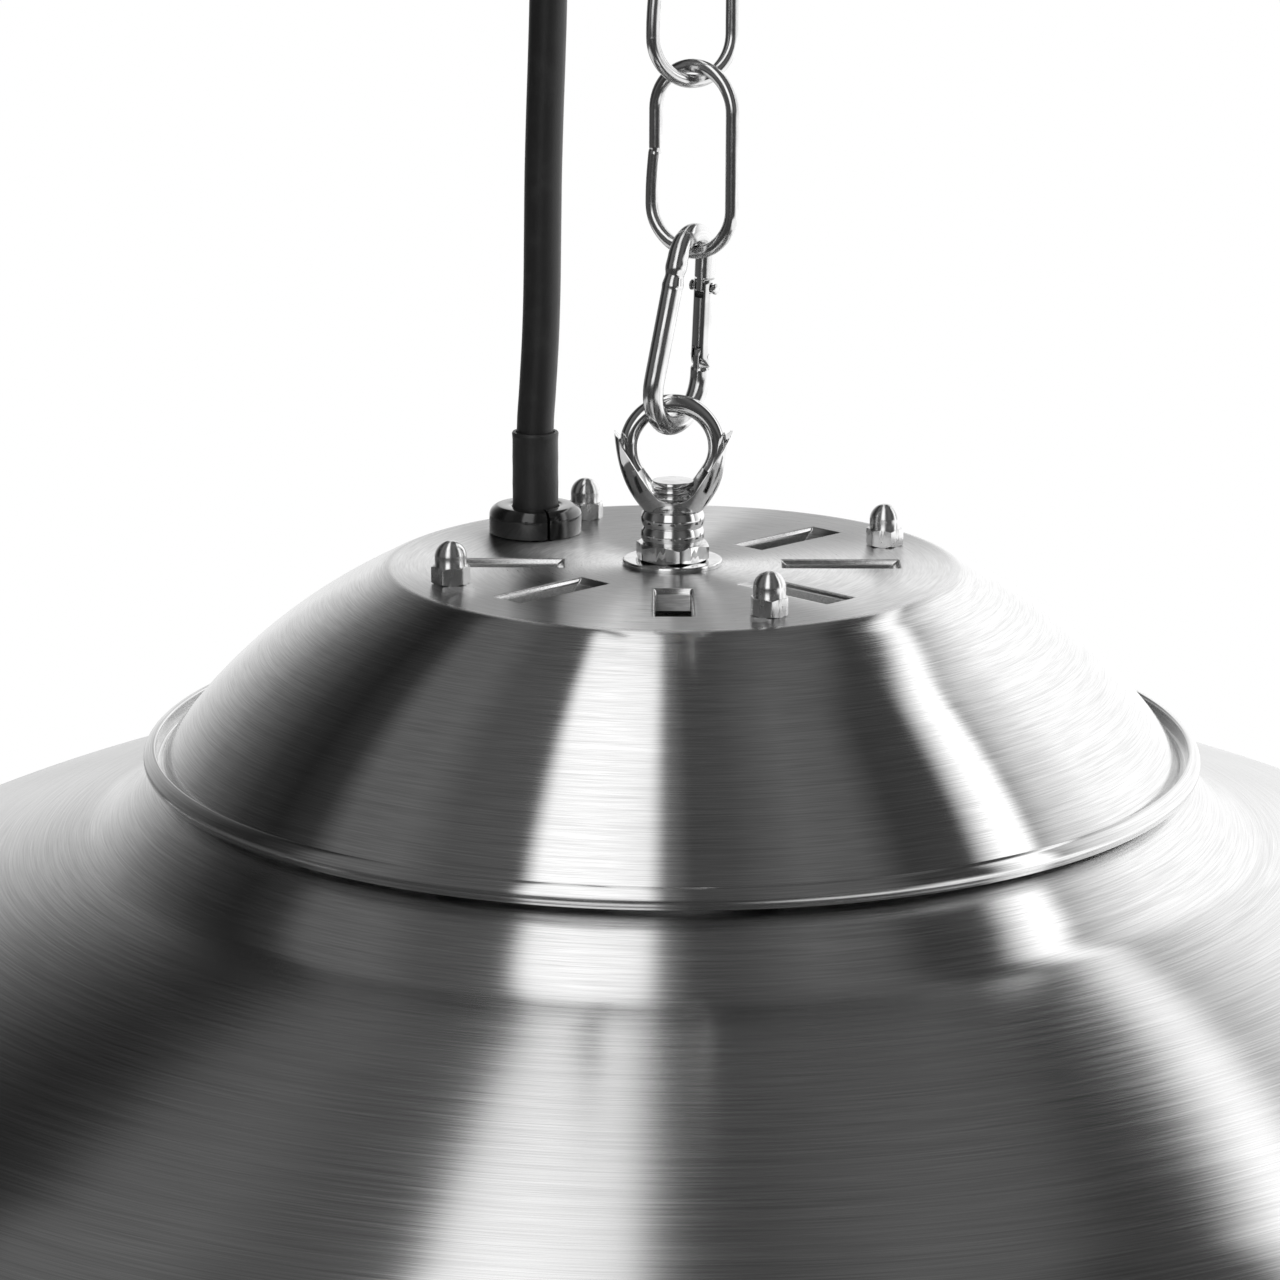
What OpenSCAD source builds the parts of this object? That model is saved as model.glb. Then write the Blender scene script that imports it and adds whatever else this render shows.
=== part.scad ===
// Hanging infrared heater: a spun steel shade with a ring lamp, a vented cap,
// an eye nut, a snap hook, a short chain and a ceiling rose.
// Millimetres. The origin is the screw plane on the ceiling, under the hook; +Z is up.

/* [Hanging line] */
// Drop from the ceiling to the seat of the ceiling hook
hook_drop = 54; // [48:1:70]
// Sideways offset of the heater's axis from the chain
hang_offset = 4.4; // [3:0.2:5]
// Outside length of a chain link
link_length = 46; // [40:1:54]
// Outside width of a chain link
link_width = 24; // [21:0.5:26]
// Wire diameter of a chain link
link_wire = 3.2; // [2.6:0.1:3.8]
// Turn of the links either way from the X axis, in degrees
link_turn = 33; // [28:1:38]
// Gap between parts that hang in each other
hang_gap = 0.3; // [0.2:0.05:0.4]

/* [Snap hook] */
// Outside length of the snap hook
snap_length = 50; // [46:1:56]
// Outside width of the lower, wide bend
snap_wide = 25; // [24:0.5:27]
// Outside width of the upper, narrow bend
snap_narrow = 17; // [16:0.5:19]
// Wire diameter of the snap hook
snap_wire = 4.8; // [4.4:0.1:5.2]
// Turn of the snap hook's plane from the X axis, in degrees
snap_turn = 57; // [50:1:64]
// Distance from the start of the gate limb to the hinge pin
gate_hinge_at = 4.4; // [4.2:0.1:5]
// Distance from the hinge pin to the latch pin
gate_reach = 16.5; // [14:0.5:18]
// Diameter of the hinge pin
gate_pin_d = 1.6; // [1.2:0.1:1.8]
// Diameter of the latch pin
latch_pin_d = 1.9; // [1.5:0.1:2.1]
// Length of the latch pin across the gate
latch_pin_length = 7.4; // [6.4:0.2:8.4]
// Thickness of the flat tongues at both ends of the gate
tongue_t = 1.7; // [1.4:0.1:2]

/* [Suspension eye] */
// Diameter of the hanging stud
stud_d = 10; // [8:0.5:11]
// Height of the stud's top above the cap
stud_top = 20; // [18:0.5:21]
// Outside diameter of the eye's ring
eye_ring_d = 25.2; // [24:0.4:27]
// Wire diameter of the eye's ring
eye_wire = 4.4; // [4:0.1:4.8]
// Height of the ring's centre above the cap
eye_ring_height = 27.9; // [27:0.1:29]
// Gap between the snap hook and the eye's ring
eye_gap = 0.5; // [0.5:0.05:0.8]
// Diameter of the eye's neck
eye_neck_d = 15; // [14.4:0.2:16]
// Height of the neck above the lock nut
eye_neck_height = 7.6; // [7:0.2:8.4]
// Height of the eye's cup above the neck
eye_cup_height = 19; // [18:0.5:20]
// Half width of the eye's cup at its tips
eye_cup_r = 13.9; // [13.5:0.1:15]
// Wall of the eye's cup
eye_cup_wall = 1.4; // [1.2:0.1:1.8]
// Outside diameter of the washer under the eye
eye_washer_d = 23.6; // [21:0.2:28]
// Thickness of the washer under the eye
eye_washer_t = 1.3; // [1:0.1:2]
// Width across the flats of the thin lock nut
lock_nut_flats = 16; // [15:0.5:17]
// Height of the thin lock nut
lock_nut_height = 4; // [3:0.2:5]

/* [Cap] */
// Diameter of the cap's flat top
cap_flat_d = 136; // [132:1:144]
// Diameter of the cap over its rolled rim
cap_rim_d = 250; // [244:1:262]
// Height of the cap from the top to the bottom of its rim
cap_height = 46.3; // [42:0.5:54]
// Radius of the crowned side in section
cap_side_r = 129; // [110:1:200]
// Sheet thickness of the cap
cap_sheet = 1; // [0.8:0.1:1.2]
// Diameter of the rolled rim
cap_bead_d = 5.2; // [4.6:0.1:5.6]
// Number of places for slots round the cap
slot_places = 8; // [8:8]
// Radius at which the slots start
slot_start_r = 25.8; // [25:0.2:27]
// Length of a slot
slot_length = 27.7; // [24:0.5:29]
// Width of a slot
slot_width = 8.3; // [6:0.1:9]
// Depth of the turned-down slot lips
slot_depth = 4.4; // [3:0.2:5]

/* [Tie rods] */
// Radius of the circle of tie rods
rod_circle_r = 55.5; // [54:0.5:57]
// Diameter of the tie rods
rod_d = 5; // [4:0.5:5]
// Width across the flats of the dome nuts
dome_nut_flats = 8; // [8:0.2:9]
// Height of the hexagon of a dome nut
dome_nut_hex = 4.2; // [3.6:0.2:5]
// Full height of a dome nut
dome_nut_height = 10; // [9:0.2:11]
// Outside diameter of the spacer tubes
spacer_d = 9; // [8:0.5:10]
// Thickness of the support plate under the cap
support_t = 2; // [1.5:0.1:2.5]
// Width of the support plate's arms
support_arm_w = 14; // [13:0.5:15]

/* [Shade] */
// Diameter of the shade over its lower rim
shade_d = 477; // [440:1:520]
// Sheet thickness of the shade
shade_sheet = 1; // [0.8:0.1:1.2]
// Clearance between the cap's rim and the shade's crown
crown_gap = 0.5; // [0.4:0.1:1]
// Radial width of the hollow neck outside the crown
neck_w = 24; // [22:0.5:28]
// Fall of the hollow neck
neck_fall = 15.3; // [13:0.2:18]
// Slope of the roof where it starts, in degrees
roof_start_slope = 12.2; // [10:0.2:14]
// Slope of the roof where it ends, in degrees
roof_end_slope = 26.9; // [24:0.5:32]
// Section radius of the shoulder between roof and skirt
shoulder_r = 30; // [24:1:36]
// Lean of the skirt from upright, in degrees
skirt_lean = 10; // [6:0.5:12]
// Height of the skirt
skirt_height = 36; // [33:1:50]
// Diameter of the rolled lower rim
shade_bead_d = 5; // [4.4:0.1:5.6]

/* [Reflector and lamp] */
// Sheet thickness of the reflector
reflector_sheet = 0.8; // [0.6:0.1:1]
// Length of the spacers above the reflector
reflector_spacer = 11; // [10:0.5:14]
// Clear height between roof and reflector at the shoulder
reflector_gap = 9; // [7:0.5:10]
// Section radius of the reflector's shoulder
reflector_shoulder_r = 20; // [16:1:24]
// Height of the reflector's skirt
reflector_skirt = 10; // [6:1:12]
// Radius of the lamp ring's centre line
lamp_r = 110; // [105:1:120]
// Outside diameter of the lamp tube
lamp_tube_d = 12; // [10:0.5:13]
// Wall of the lamp tube
lamp_wall = 1; // [0.8:0.1:1.2]
// Diameter of the filament coil
filament_d = 2; // [1.5:0.1:3]
// Clear height between the reflector and the lamp tube
lamp_clear = 18; // [14:0.5:22]
// Half of the open angle of the lamp ring, in degrees
lamp_half_gap = 14; // [12:0.5:16]
// Diameter of the ceramic lamp ends
lamp_cap_d = 15; // [14.5:0.5:17]
// Length of the ceramic lamp ends
lamp_cap_length = 22; // [18:0.5:26]
// Width of a lamp clip
clip_w = 8; // [6:0.5:10]
// Wall of a lamp clip
clip_wall = 1.2; // [1:0.1:1.6]

/* [Guard] */
// Wire diameter of the guard's outer ring
guard_ring_wire = 4; // [3.4:0.1:4.4]
// Wire diameter of the guard's other rings
guard_wire = 3; // [2.4:0.1:3.4]
// Number of rings inside the outer ring
guard_ring_count = 6; // [4:1:8]
// Number of guard spokes
guard_spoke_count = 8; // [8:8]
// Width of a guard clip
guard_clip_w = 14; // [10:1:20]
// Sheet thickness of a guard clip
guard_clip_t = 2; // [1.5:0.1:2.5]
// Diameter of the guard screws
guard_screw_d = 4; // [3:0.5:4]

/* [Cable] */
// Diameter of the power cable
cable_d = 9; // [8:0.2:9.4]
// Outside diameter of the heat sleeve on the cable
sleeve_d = 11.2; // [10.8:0.1:12]
// Height of the sleeve's top above the cap
sleeve_top = 25; // [22:1:28]
// Flange diameter of the cable grip
grip_flange_d = 22.6; // [21:0.2:24]
// Flange height of the cable grip
grip_flange_h = 7; // [6:0.2:8]
// Diameter of the grip's barrel through the cap
grip_barrel_d = 16; // [15:0.2:17]
// Diameter of the insulated leads
lead_d = 2.6; // [2:0.1:3]
// Diameter of the ceramic lead grommets
grommet_d = 8; // [7:0.2:9]

/* [Ceiling rose] */
// Diameter of the ceiling rose
rose_d = 140; // [132:1:180]
// Height of the ceiling rose
rose_height = 28; // [25:1:32]
// Sheet thickness of the rose
rose_sheet = 1; // [0.8:0.1:1.5]
// Distance between the two ceiling screws
screw_spacing = 80; // [70:1:100]
// Diameter of the holes for the ceiling screws
screw_hole_d = 5; // [4:0.5:6]
// Width of the ceiling bracket
bracket_w = 24; // [20:1:28]
// Thickness of the ceiling bracket
bracket_t = 2; // [1.5:0.1:3]
// Drop of the bracket's middle below the ceiling
bracket_drop = 12; // [11:0.5:14]
// Wire diameter of the ceiling hook
hook_wire = 5; // [4.6:0.1:6]
// Radius of the hook's centre line
hook_r = 8.5; // [8:0.1:9]
// Bend radius between the hook and its shank
hook_bend_r = 6; // [5:0.5:6]
// Outside diameter of the cable gland
gland_d = 20; // [18:0.5:22]
// Thickness of the gland's flange and nut
gland_nut_t = 4; // [3:0.5:5]

/* [Hidden] */
$fn = 96;

fit = 0.05;
seat_gap = 0.3;
loose = 0.2;
cut = 1;
steps = 12;

rose_floor_z = -rose_height + rose_sheet;

// The hanging line, from the ceiling down. A pivot lies midway in its gap.
link_pitch = link_length - 2 * link_wire - hang_gap;
pivot_z = [for (i = [0:3]) -hook_drop - i * link_pitch];
snap_inner = snap_length - 2 * snap_wire;
snap_span = snap_inner - (hang_gap + eye_gap) / 2;
snap_slant = asin(hang_offset / snap_span);
eye_pivot_z = pivot_z[3] - snap_span * cos(snap_slant);
axis_x = -hang_offset;
eye_ring_r = (eye_ring_d - eye_wire) / 2;
plate_z = eye_pivot_z + eye_gap / 2 - (eye_ring_height + eye_ring_r - eye_wire / 2);

// The snap hook's centre line, in its own plane
snap_rb = (snap_wide - snap_wire) / 2;
snap_rt = (snap_narrow - snap_wire) / 2;
snap_cb = -snap_length / 2 + snap_wide / 2;
snap_ct = snap_length / 2 - snap_narrow / 2;
snap_lean = asin((snap_rb - snap_rt) / (snap_ct - snap_cb));
limb_length = (snap_ct - snap_cb) * cos(snap_lean);
latch_at = gate_hinge_at + gate_reach;
gate_slot = tongue_t + 2 * seat_gap;
latch_rim = 1.2;
latch_land = 0.9;
gate_end = latch_at + latch_pin_d / 2 + latch_rim;
latch_tip = latch_at - latch_pin_d / 2 - latch_land;
limb_grow = 0.04;
limb_lap = 0.3;
end_gap = 0.5;
pin_gap = 0.15;
// The hinge tongue's end is round about the pin, so that the gate's slot can turn on it
tongue_d = snap_wire - 0.4;
tongue_end_r = snap_wire / 2 - 0.1;
gate_bore_d = snap_wire / 2;
gate_bore_top = latch_at - 5;
spring_low = gate_hinge_at + tongue_end_r + 0.7;

// The eye, upwards from the cap's top
lock_nut_z = eye_washer_t;
neck_z = lock_nut_z + lock_nut_height;
cup_z = neck_z + eye_neck_height;
tip_z = cup_z + eye_cup_height;

// The cap's section
bead_r = cap_bead_d / 2;
bead_centre = [cap_rim_d / 2 - bead_r, -cap_height + bead_r];
cap_edge = [cap_flat_d / 2, -cap_sheet / 2];
cap_foot = [bead_centre[0] - bead_r + cap_sheet / 2, bead_centre[1]];
rod_turn = 22.5;
nut_turn = [23.5, 23.5, 45, 42.5];
cap_bottom_z = -cap_sheet;
support_z = cap_bottom_z - support_t;

// The shade's section
crown_z = -cap_height - crown_gap;
crown_r = cap_rim_d / 2 - cap_bead_d - 3.8;
roof_start = [crown_r + neck_w, crown_z - neck_fall];
skirt_run = skirt_height * tan(skirt_lean);
shoulder_run = shoulder_r * (cos(skirt_lean) - sin(roof_end_slope));
shoulder_fall = shoulder_r * (cos(roof_end_slope) - sin(skirt_lean));
roof_end_r = shade_d / 2 - skirt_run - shoulder_run;
roof_fall = (roof_end_r - roof_start[0]) * (tan(roof_start_slope) + tan(roof_end_slope)) / 2;
roof_end = [roof_end_r, roof_start[1] - roof_fall];
skirt_top = [roof_end_r + shoulder_run, roof_end[1] - shoulder_fall];
skirt_end = [skirt_top[0] + skirt_run, skirt_top[1] - skirt_height];
shade_bead = [skirt_end[0] - shade_bead_d / 2, skirt_end[1]];
crown_bottom = crown_z - shade_sheet;
crown_hole_r = 20;

// The reflector's section
reflector_z = crown_bottom - reflector_spacer;
reflector_flat_r = 95;
reflector_end = [roof_end_r, roof_end[1] - reflector_gap];
reflector_bottom = reflector_z - reflector_sheet;
reflector_mean = (reflector_z - reflector_end[1]) / (roof_end_r - reflector_flat_r);
reflector_end_slope = atan(2 * reflector_mean - tan(roof_start_slope));
rod_nut_h = 4;
rod_end_z = reflector_bottom - rod_nut_h - 2;
rod_head_z = dome_nut_height - 3;

// The lamp
lamp_turn = 135;
lamp_z = reflector_under(lamp_r) - lamp_clear - lamp_tube_d / 2;
lamp_sleeve = lamp_cap_length * 0.6;
grommet_r = 92;
grommet_turn = 8;

// The guard
guard_r = shade_bead[0] - 2.2;
guard_z = shade_bead[1] + sqrt(pow((shade_bead_d + guard_ring_wire) / 2 + seat_gap, 2) - 2.2 * 2.2);
guard_spoke_z = guard_z + (guard_ring_wire + guard_wire) / 2 + fit;
guard_inner_r = 34;
guard_clip_turn = 22.5;
guard_screw_z = guard_z + guard_ring_wire / 2 + 11;

// The cable and the wiring, in the heater's own frame
grip_x = -33.2;
grip_y = 34;
wiring_turn = lamp_turn;
grip_r = norm([grip_x, grip_y]);
cable_low_z = -13;
cable_top = [-35, 34, -hook_drop];
gland_mouth_z = -hook_drop - 2;
gland_clear = 1.9;
tail_gap = 2.9;
terminal_size = [16, 34, 14];
terminal_r = grip_r + 20;
terminal_pitch = 10;
earth_at = [grip_r + 12, 28];
// The cable's own points, from its lower end in the cap up to the ceiling gland
cable_points = [[-37.6, 34, -260.5], [-37.6, 34, -240], [-37.6, 34, -222], [-37, 34, -212],
    [-36.3, 34.1, -200], [-35.9, 34.2, -188], [-35.7, 34.1, -174], [-35.5, 33.9, -160],
    [-35.1, 33.8, -146], [-34.6, 33.8, -132], [-34.2, 33.9, -118], [-34.1, 34, -104],
    [-34.3, 34.1, -90], [-34.6, 34.1, -78], [-34.9, 34, -66], [-35, 34, -54]];

function reflector_under(r) = reflector_z - tan(roof_start_slope) * (r - reflector_flat_r)
    - (tan(reflector_end_slope) - tan(roof_start_slope)) * pow(r - reflector_flat_r, 2)
    / (2 * (roof_end_r - reflector_flat_r)) - reflector_sheet * 1.1;

// Points on curves in the plane
function bezier3(a, b, c, d, n) = [for (i = [0:n]) let (t = i / n, s = 1 - t)
    s * s * s * a + 3 * s * s * t * b + 3 * s * t * t * c + t * t * t * d];
function bezier2(a, b, c, n) = [for (i = [0:n]) let (t = i / n, s = 1 - t)
    s * s * a + 2 * s * t * b + t * t * c];
function arc(centre, r, from, to, n) = [for (i = [0:n]) let (w = from + (to - from) * i / n)
    centre + r * [cos(w), sin(w)]];
function tail(list, from = 1) = [for (i = [from:len(list) - 1]) list[i]];
function unit(v) = v / norm(v);
function normal2(a, b) = let (d = unit(b - a)) [d[1], -d[0]];
function path_normal(p, i) = unit(
    (i > 0 ? normal2(p[i - 1], p[i]) : [0, 0]) + (i < len(p) - 1 ? normal2(p[i], p[i + 1]) : [0, 0]));
// A sheet of thickness t whose outer face follows p
function sheet(p, t) = concat(p, [for (i = [len(p) - 1:-1:0]) p[i] + t * path_normal(p, i)]);

// The crowned side of the cap, an arc through two points
side_chord = cap_foot - cap_edge;
side_half = asin(norm(side_chord) / 2 / cap_side_r);
side_mid_angle = atan2(-side_chord[1], side_chord[0]);
side_start = 90 - side_mid_angle + side_half;
side_centre = cap_edge - cap_side_r * [cos(side_start), sin(side_start)];
bend_r = 2;
cap_path = concat([[stud_d / 2 + loose, 0], [cap_flat_d / 2 - bend_r, 0]],
    bezier2([cap_flat_d / 2 - bend_r + 0.2, 0], [cap_flat_d / 2, 0], side_point(1), 4),
    [for (i = [2:steps + 2]) side_point(i)]);
function side_point(i) = side_centre + cap_side_r
    * [cos(side_start - 2 * side_half * i / (steps + 2)), sin(side_start - 2 * side_half * i / (steps + 2))];

neck_curve = bezier3([crown_r, crown_z], [crown_r + neck_w * 0.37, crown_z],
    [crown_r + neck_w * 0.58, roof_start[1] + neck_w * 0.42 * tan(roof_start_slope) - 0.2], roof_start, 12);
function roof_curve(a, b, slope, n) = bezier2(a, [(a[0] + b[0]) / 2,
    a[1] - tan(slope) * (b[0] - a[0]) / 2], b, n);
function shoulder(end, r, slope, lean, n) = arc(end - r * [sin(slope), cos(slope)], r,
    90 - slope, lean, n);
shade_path = concat([[crown_hole_r, crown_z]], neck_curve,
    tail(roof_curve(roof_start, roof_end, roof_start_slope, 12)),
    tail(shoulder(roof_end, shoulder_r, roof_end_slope, skirt_lean, 8)), [skirt_end]);
reflector_shoulder = shoulder(reflector_end, reflector_shoulder_r, reflector_end_slope, skirt_lean, 1)[1];
reflector_foot = reflector_shoulder + reflector_skirt * [tan(skirt_lean), -1];
reflector_path = concat([[crown_hole_r, reflector_z]],
    roof_curve([reflector_flat_r, reflector_z], reflector_end, roof_start_slope, 12),
    tail(shoulder(reflector_end, reflector_shoulder_r, reflector_end_slope, skirt_lean, 6)),
    [reflector_foot]);

// A tube swept along points, with n sides and flat ends
function smooth_route(p, n) = [for (i = [0:len(p) - 2]) for (k = [0:n - 1])
    let (a = p[max(i - 1, 0)], b = p[i], c = p[i + 1], d = p[min(i + 2, len(p) - 1)], t = k / n)
    0.5 * (2 * b + (c - a) * t + (2 * a - 5 * b + 4 * c - d) * t * t
    + (3 * b - a - 3 * c + d) * t * t * t)];
function route(p, n) = concat(smooth_route(p, n), [p[len(p) - 1]]);
module swept_tube(points, d, sides, side_axis) {
    count = len(points);
    last = count - 1;
    dirs = [for (i = [0:last]) unit(points[min(i + 1, last)] - points[max(i - 1, 0)])];
    across = [for (v = dirs) unit(cross(v, side_axis))];
    rings = [for (i = [0:last]) for (k = [0:sides - 1])
        let (w = 360 * k / sides, up = cross(across[i], dirs[i]))
        points[i] + d / 2 * (across[i] * cos(w) + up * sin(w))];
    walls = [for (i = [0:last - 1]) for (k = [0:sides - 1]) let (m = (k + 1) % sides)
        each [[i * sides + k, i * sides + m, (i + 1) * sides + m],
            [i * sides + k, (i + 1) * sides + m, (i + 1) * sides + k]]];
    polyhedron(rings, concat(walls, [[for (k = [sides - 1:-1:0]) k],
        [for (k = [0:sides - 1]) last * sides + k]]));
}

// Round bars and bent wires
module bar(a, b, d) {
    v = b - a;
    translate(a)
        rotate([0, acos(v[2] / norm(v)), atan2(v[1], v[0])])
            cylinder(h = norm(v), d = d);
}
module wire_arc(r, d, from, turn) {
    rotate([90, 0, 0])
        rotate([0, 0, from])
            rotate_extrude(angle = turn)
                translate([r, 0])
                    circle(d = d);
}
// A hexagon with its corners turned off at both ends
module hex_block(flats, h) {
    face_r = flats * 0.52;
    corner_r = flats * 0.58;
    intersection() {
        cylinder(h = h, d = flats / cos(30), $fn = 6);
        rotate_extrude()
            polygon([[0, 0], [face_r, 0], [corner_r, (corner_r - face_r) / 2],
                [corner_r, h - (corner_r - face_r) / 2], [face_r, h], [0, h]]);
    }
}
module hex_nut(flats, h, bore) {
    difference() {
        hex_block(flats, h);
        translate([0, 0, -cut])
            cylinder(h = h + 2 * cut, d = bore);
    }
}
module washer(d, t, bore) {
    difference() {
        cylinder(h = t, d = d);
        translate([0, 0, -cut])
            cylinder(h = t + 2 * cut, d = bore);
    }
}
module spun(points) {
    rotate_extrude($fn = 180)
        polygon(points);
}
module heater_frame() {
    translate([axis_x, 0, plate_z])
        children();
}
module at_rods() {
    for ($rod = [0:3])
        rotate([0, 0, rod_turn + 90 * $rod])
            translate([rod_circle_r, 0, 0])
                children();
}

// Ceiling parts
module ceiling_bracket() {
    half = screw_spacing / 2;
    foot = half + 10;
    wall_x = half - 12;
    low_x = wall_x - 4;
    color("silver")
        difference() {
            rotate([90, 0, 0])
                translate([0, 0, -bracket_w / 2])
                    linear_extrude(bracket_w)
                        polygon([[-foot, 0], [-wall_x, 0], [-low_x, -bracket_drop],
                            [low_x, -bracket_drop], [wall_x, 0], [foot, 0], [foot, -bracket_t],
                            [wall_x + bracket_t, -bracket_t],
                            [low_x + bracket_t, -bracket_drop - bracket_t],
                            [-low_x - bracket_t, -bracket_drop - bracket_t],
                            [-wall_x - bracket_t, -bracket_t], [-foot, -bracket_t]]);
            for (side = [-1, 1])
                translate([side * half, 0, -bracket_t - cut])
                    cylinder(h = bracket_t + 2 * cut, d = screw_hole_d);
            translate([0, 0, -bracket_drop - bracket_t - cut])
                cylinder(h = bracket_t + 2 * cut, d = hook_wire + 2 * fit);
        }
}
module ceiling_rose() {
    corner = 6;
    r = rose_d / 2;
    rose_path = concat([[hook_wire / 2 + fit, -rose_height]],
        arc([r - corner, -rose_height + corner], corner, -90, 0, 6), [[r, 0]]);
    color("gainsboro")
        difference() {
            rotate_extrude($fn = 128)
                polygon(concat(rose_path, [[r - rose_sheet, 0]],
                    arc([r - corner, -rose_height + corner], corner - rose_sheet, 0, -90, 6),
                    [[hook_wire / 2 + fit, -rose_height + rose_sheet]]));
            translate([cable_top[0], cable_top[1], -rose_height - cut])
                cylinder(h = rose_sheet + 2 * cut, d = gland_neck_d + 2 * fit);
        }
}
hook_centre_z = -hook_drop - hang_gap / 2 - hook_wire / 2 + hook_r;
// The shank's bend runs from the upright line into the hook's circle
bend_reach = hook_r + hook_bend_r;
bend_centre_z = hook_centre_z + sqrt(bend_reach * bend_reach - hook_bend_r * hook_bend_r);
bend_angle = acos(hook_bend_r / bend_reach);
module ceiling_hook() {
    shank_top = -3;
    tip_angle = 160;
    lap_angle = 2;
    color("silver")
        rotate([0, 0, 90 - link_turn]) {
            translate([0, 0, hook_centre_z])
                wire_arc(hook_r, hook_wire, bend_angle, tip_angle - 360 - bend_angle);
            translate([hook_bend_r, 0, bend_centre_z])
                wire_arc(hook_bend_r, hook_wire + limb_grow, 180 - lap_angle, bend_angle + 2 * lap_angle);
            translate([0, 0, bend_centre_z])
                cylinder(h = shank_top - bend_centre_z, d = hook_wire);
        }
}
hook_nut_flats = 9;
hook_nut_h = 5;
module hook_nuts() {
    color("silver")
        for (low = [-bracket_drop, -bracket_drop - bracket_t - hook_nut_h])
            translate([0, 0, low])
                hex_nut(hook_nut_flats, hook_nut_h, hook_wire + 2 * fit);
}
module rose_nut() {
    low_d = 10;
    high_d = 14;
    color("silver")
        translate([0, 0, -rose_height - hook_nut_h])
            difference() {
                cylinder(h = hook_nut_h, d1 = low_d, d2 = high_d);
                translate([0, 0, -cut])
                    cylinder(h = hook_nut_h + 2 * cut, d = hook_wire + 2 * fit);
            }
}
gland_neck_d = gland_d * 0.7;
module cable_gland() {
    bore_r = cable_d / 2 + 2 * loose;
    mouth_r = cable_d / 2 + gland_clear;
    top = rose_floor_z + gland_nut_t + 1;
    bell_top = gland_mouth_z + 5;
    body_low = gland_mouth_z + 9;
    color([0.12, 0.12, 0.12])
        translate([cable_top[0], cable_top[1], 0])
            rotate_extrude()
                polygon([[bore_r, top], [gland_neck_d / 2, top], [gland_neck_d / 2, -rose_height],
                    [gland_d / 2, -rose_height], [gland_d / 2, body_low],
                    [gland_d / 2 - 1.5, gland_mouth_z + 2], [gland_d / 2 - 3, gland_mouth_z],
                    [mouth_r, gland_mouth_z], [mouth_r, bell_top], [bore_r, body_low]]);
}
module gland_nut() {
    color([0.12, 0.12, 0.12])
        translate([cable_top[0], cable_top[1], rose_floor_z])
            hex_nut(gland_d, gland_nut_t, gland_neck_d + 2 * fit);
}
connector_size = [30, 14, 10];
connector_y = 54;
connector_pitch = 9;
module supply_tail() {
    low = -hook_drop + tail_gap;
    high = rose_floor_z + gland_nut_t + 3;
    color([0.1, 0.1, 0.1])
        translate([cable_top[0], cable_top[1], low])
            cylinder(h = high - low, d = cable_d);
}
module supply_connector() {
    color("ivory")
        translate([0, connector_y, rose_floor_z + connector_size[2] / 2])
            cube(connector_size, center = true);
}
screw_head_d = 4;
screw_head_h = 0.8;
module connector_screws() {
    color("gold")
        for (i = [-1:1])
            translate([i * connector_pitch, connector_y, rose_floor_z + connector_size[2]])
                cylinder(h = screw_head_h, d = screw_head_d);
}

// Chain
module link_shape() {
    r = (link_width - link_wire) / 2;
    half = (link_length - link_width) / 2;
    translate([0, 0, half])
        wire_arc(r, link_wire, 0, 180);
    translate([0, 0, -half])
        wire_arc(r, link_wire, 180, 180);
    for (side = [-1, 1])
        bar([side * r, 0, -half], [side * r, 0, half], link_wire);
}
module chain_link(i, turn) {
    color("lightgray")
        translate([0, 0, pivot_z[i] + hang_gap / 2 + link_wire - link_length / 2])
            rotate([0, 0, turn])
                link_shape();
}
module chain_link_3() {
    chain_link(0, -link_turn);
}
module chain_link_2() {
    chain_link(1, link_turn);
}
module chain_link_1() {
    chain_link(2, -link_turn);
}

// Snap hook, drawn in the XZ plane about its middle, gate at +X
module snap_frame() {
    translate([0, 0, pivot_z[3] + hang_gap / 2])
        rotate([0, snap_slant, 0])
            translate([0, 0, -(snap_length / 2 - snap_wire)])
                rotate([0, 0, snap_turn])
                    children();
}
module limb_frame() {
    translate([snap_rb * cos(snap_lean), 0, snap_cb + snap_rb * sin(snap_lean)])
        rotate([0, -snap_lean, 0])
            children();
}
module tongue(from, to) {
    intersection() {
        translate([0, 0, from])
            cylinder(h = to - from, d = tongue_d);
        translate([-snap_wire, -tongue_t / 2, from])
            cube([2 * snap_wire, tongue_t, to - from]);
    }
}
// A bar across the limb, along the hinge's axis
module across_hinge(d) {
    translate([0, snap_wire, gate_hinge_at])
        rotate([90, 0, 0])
            cylinder(h = 2 * snap_wire, d = d);
}
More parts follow.
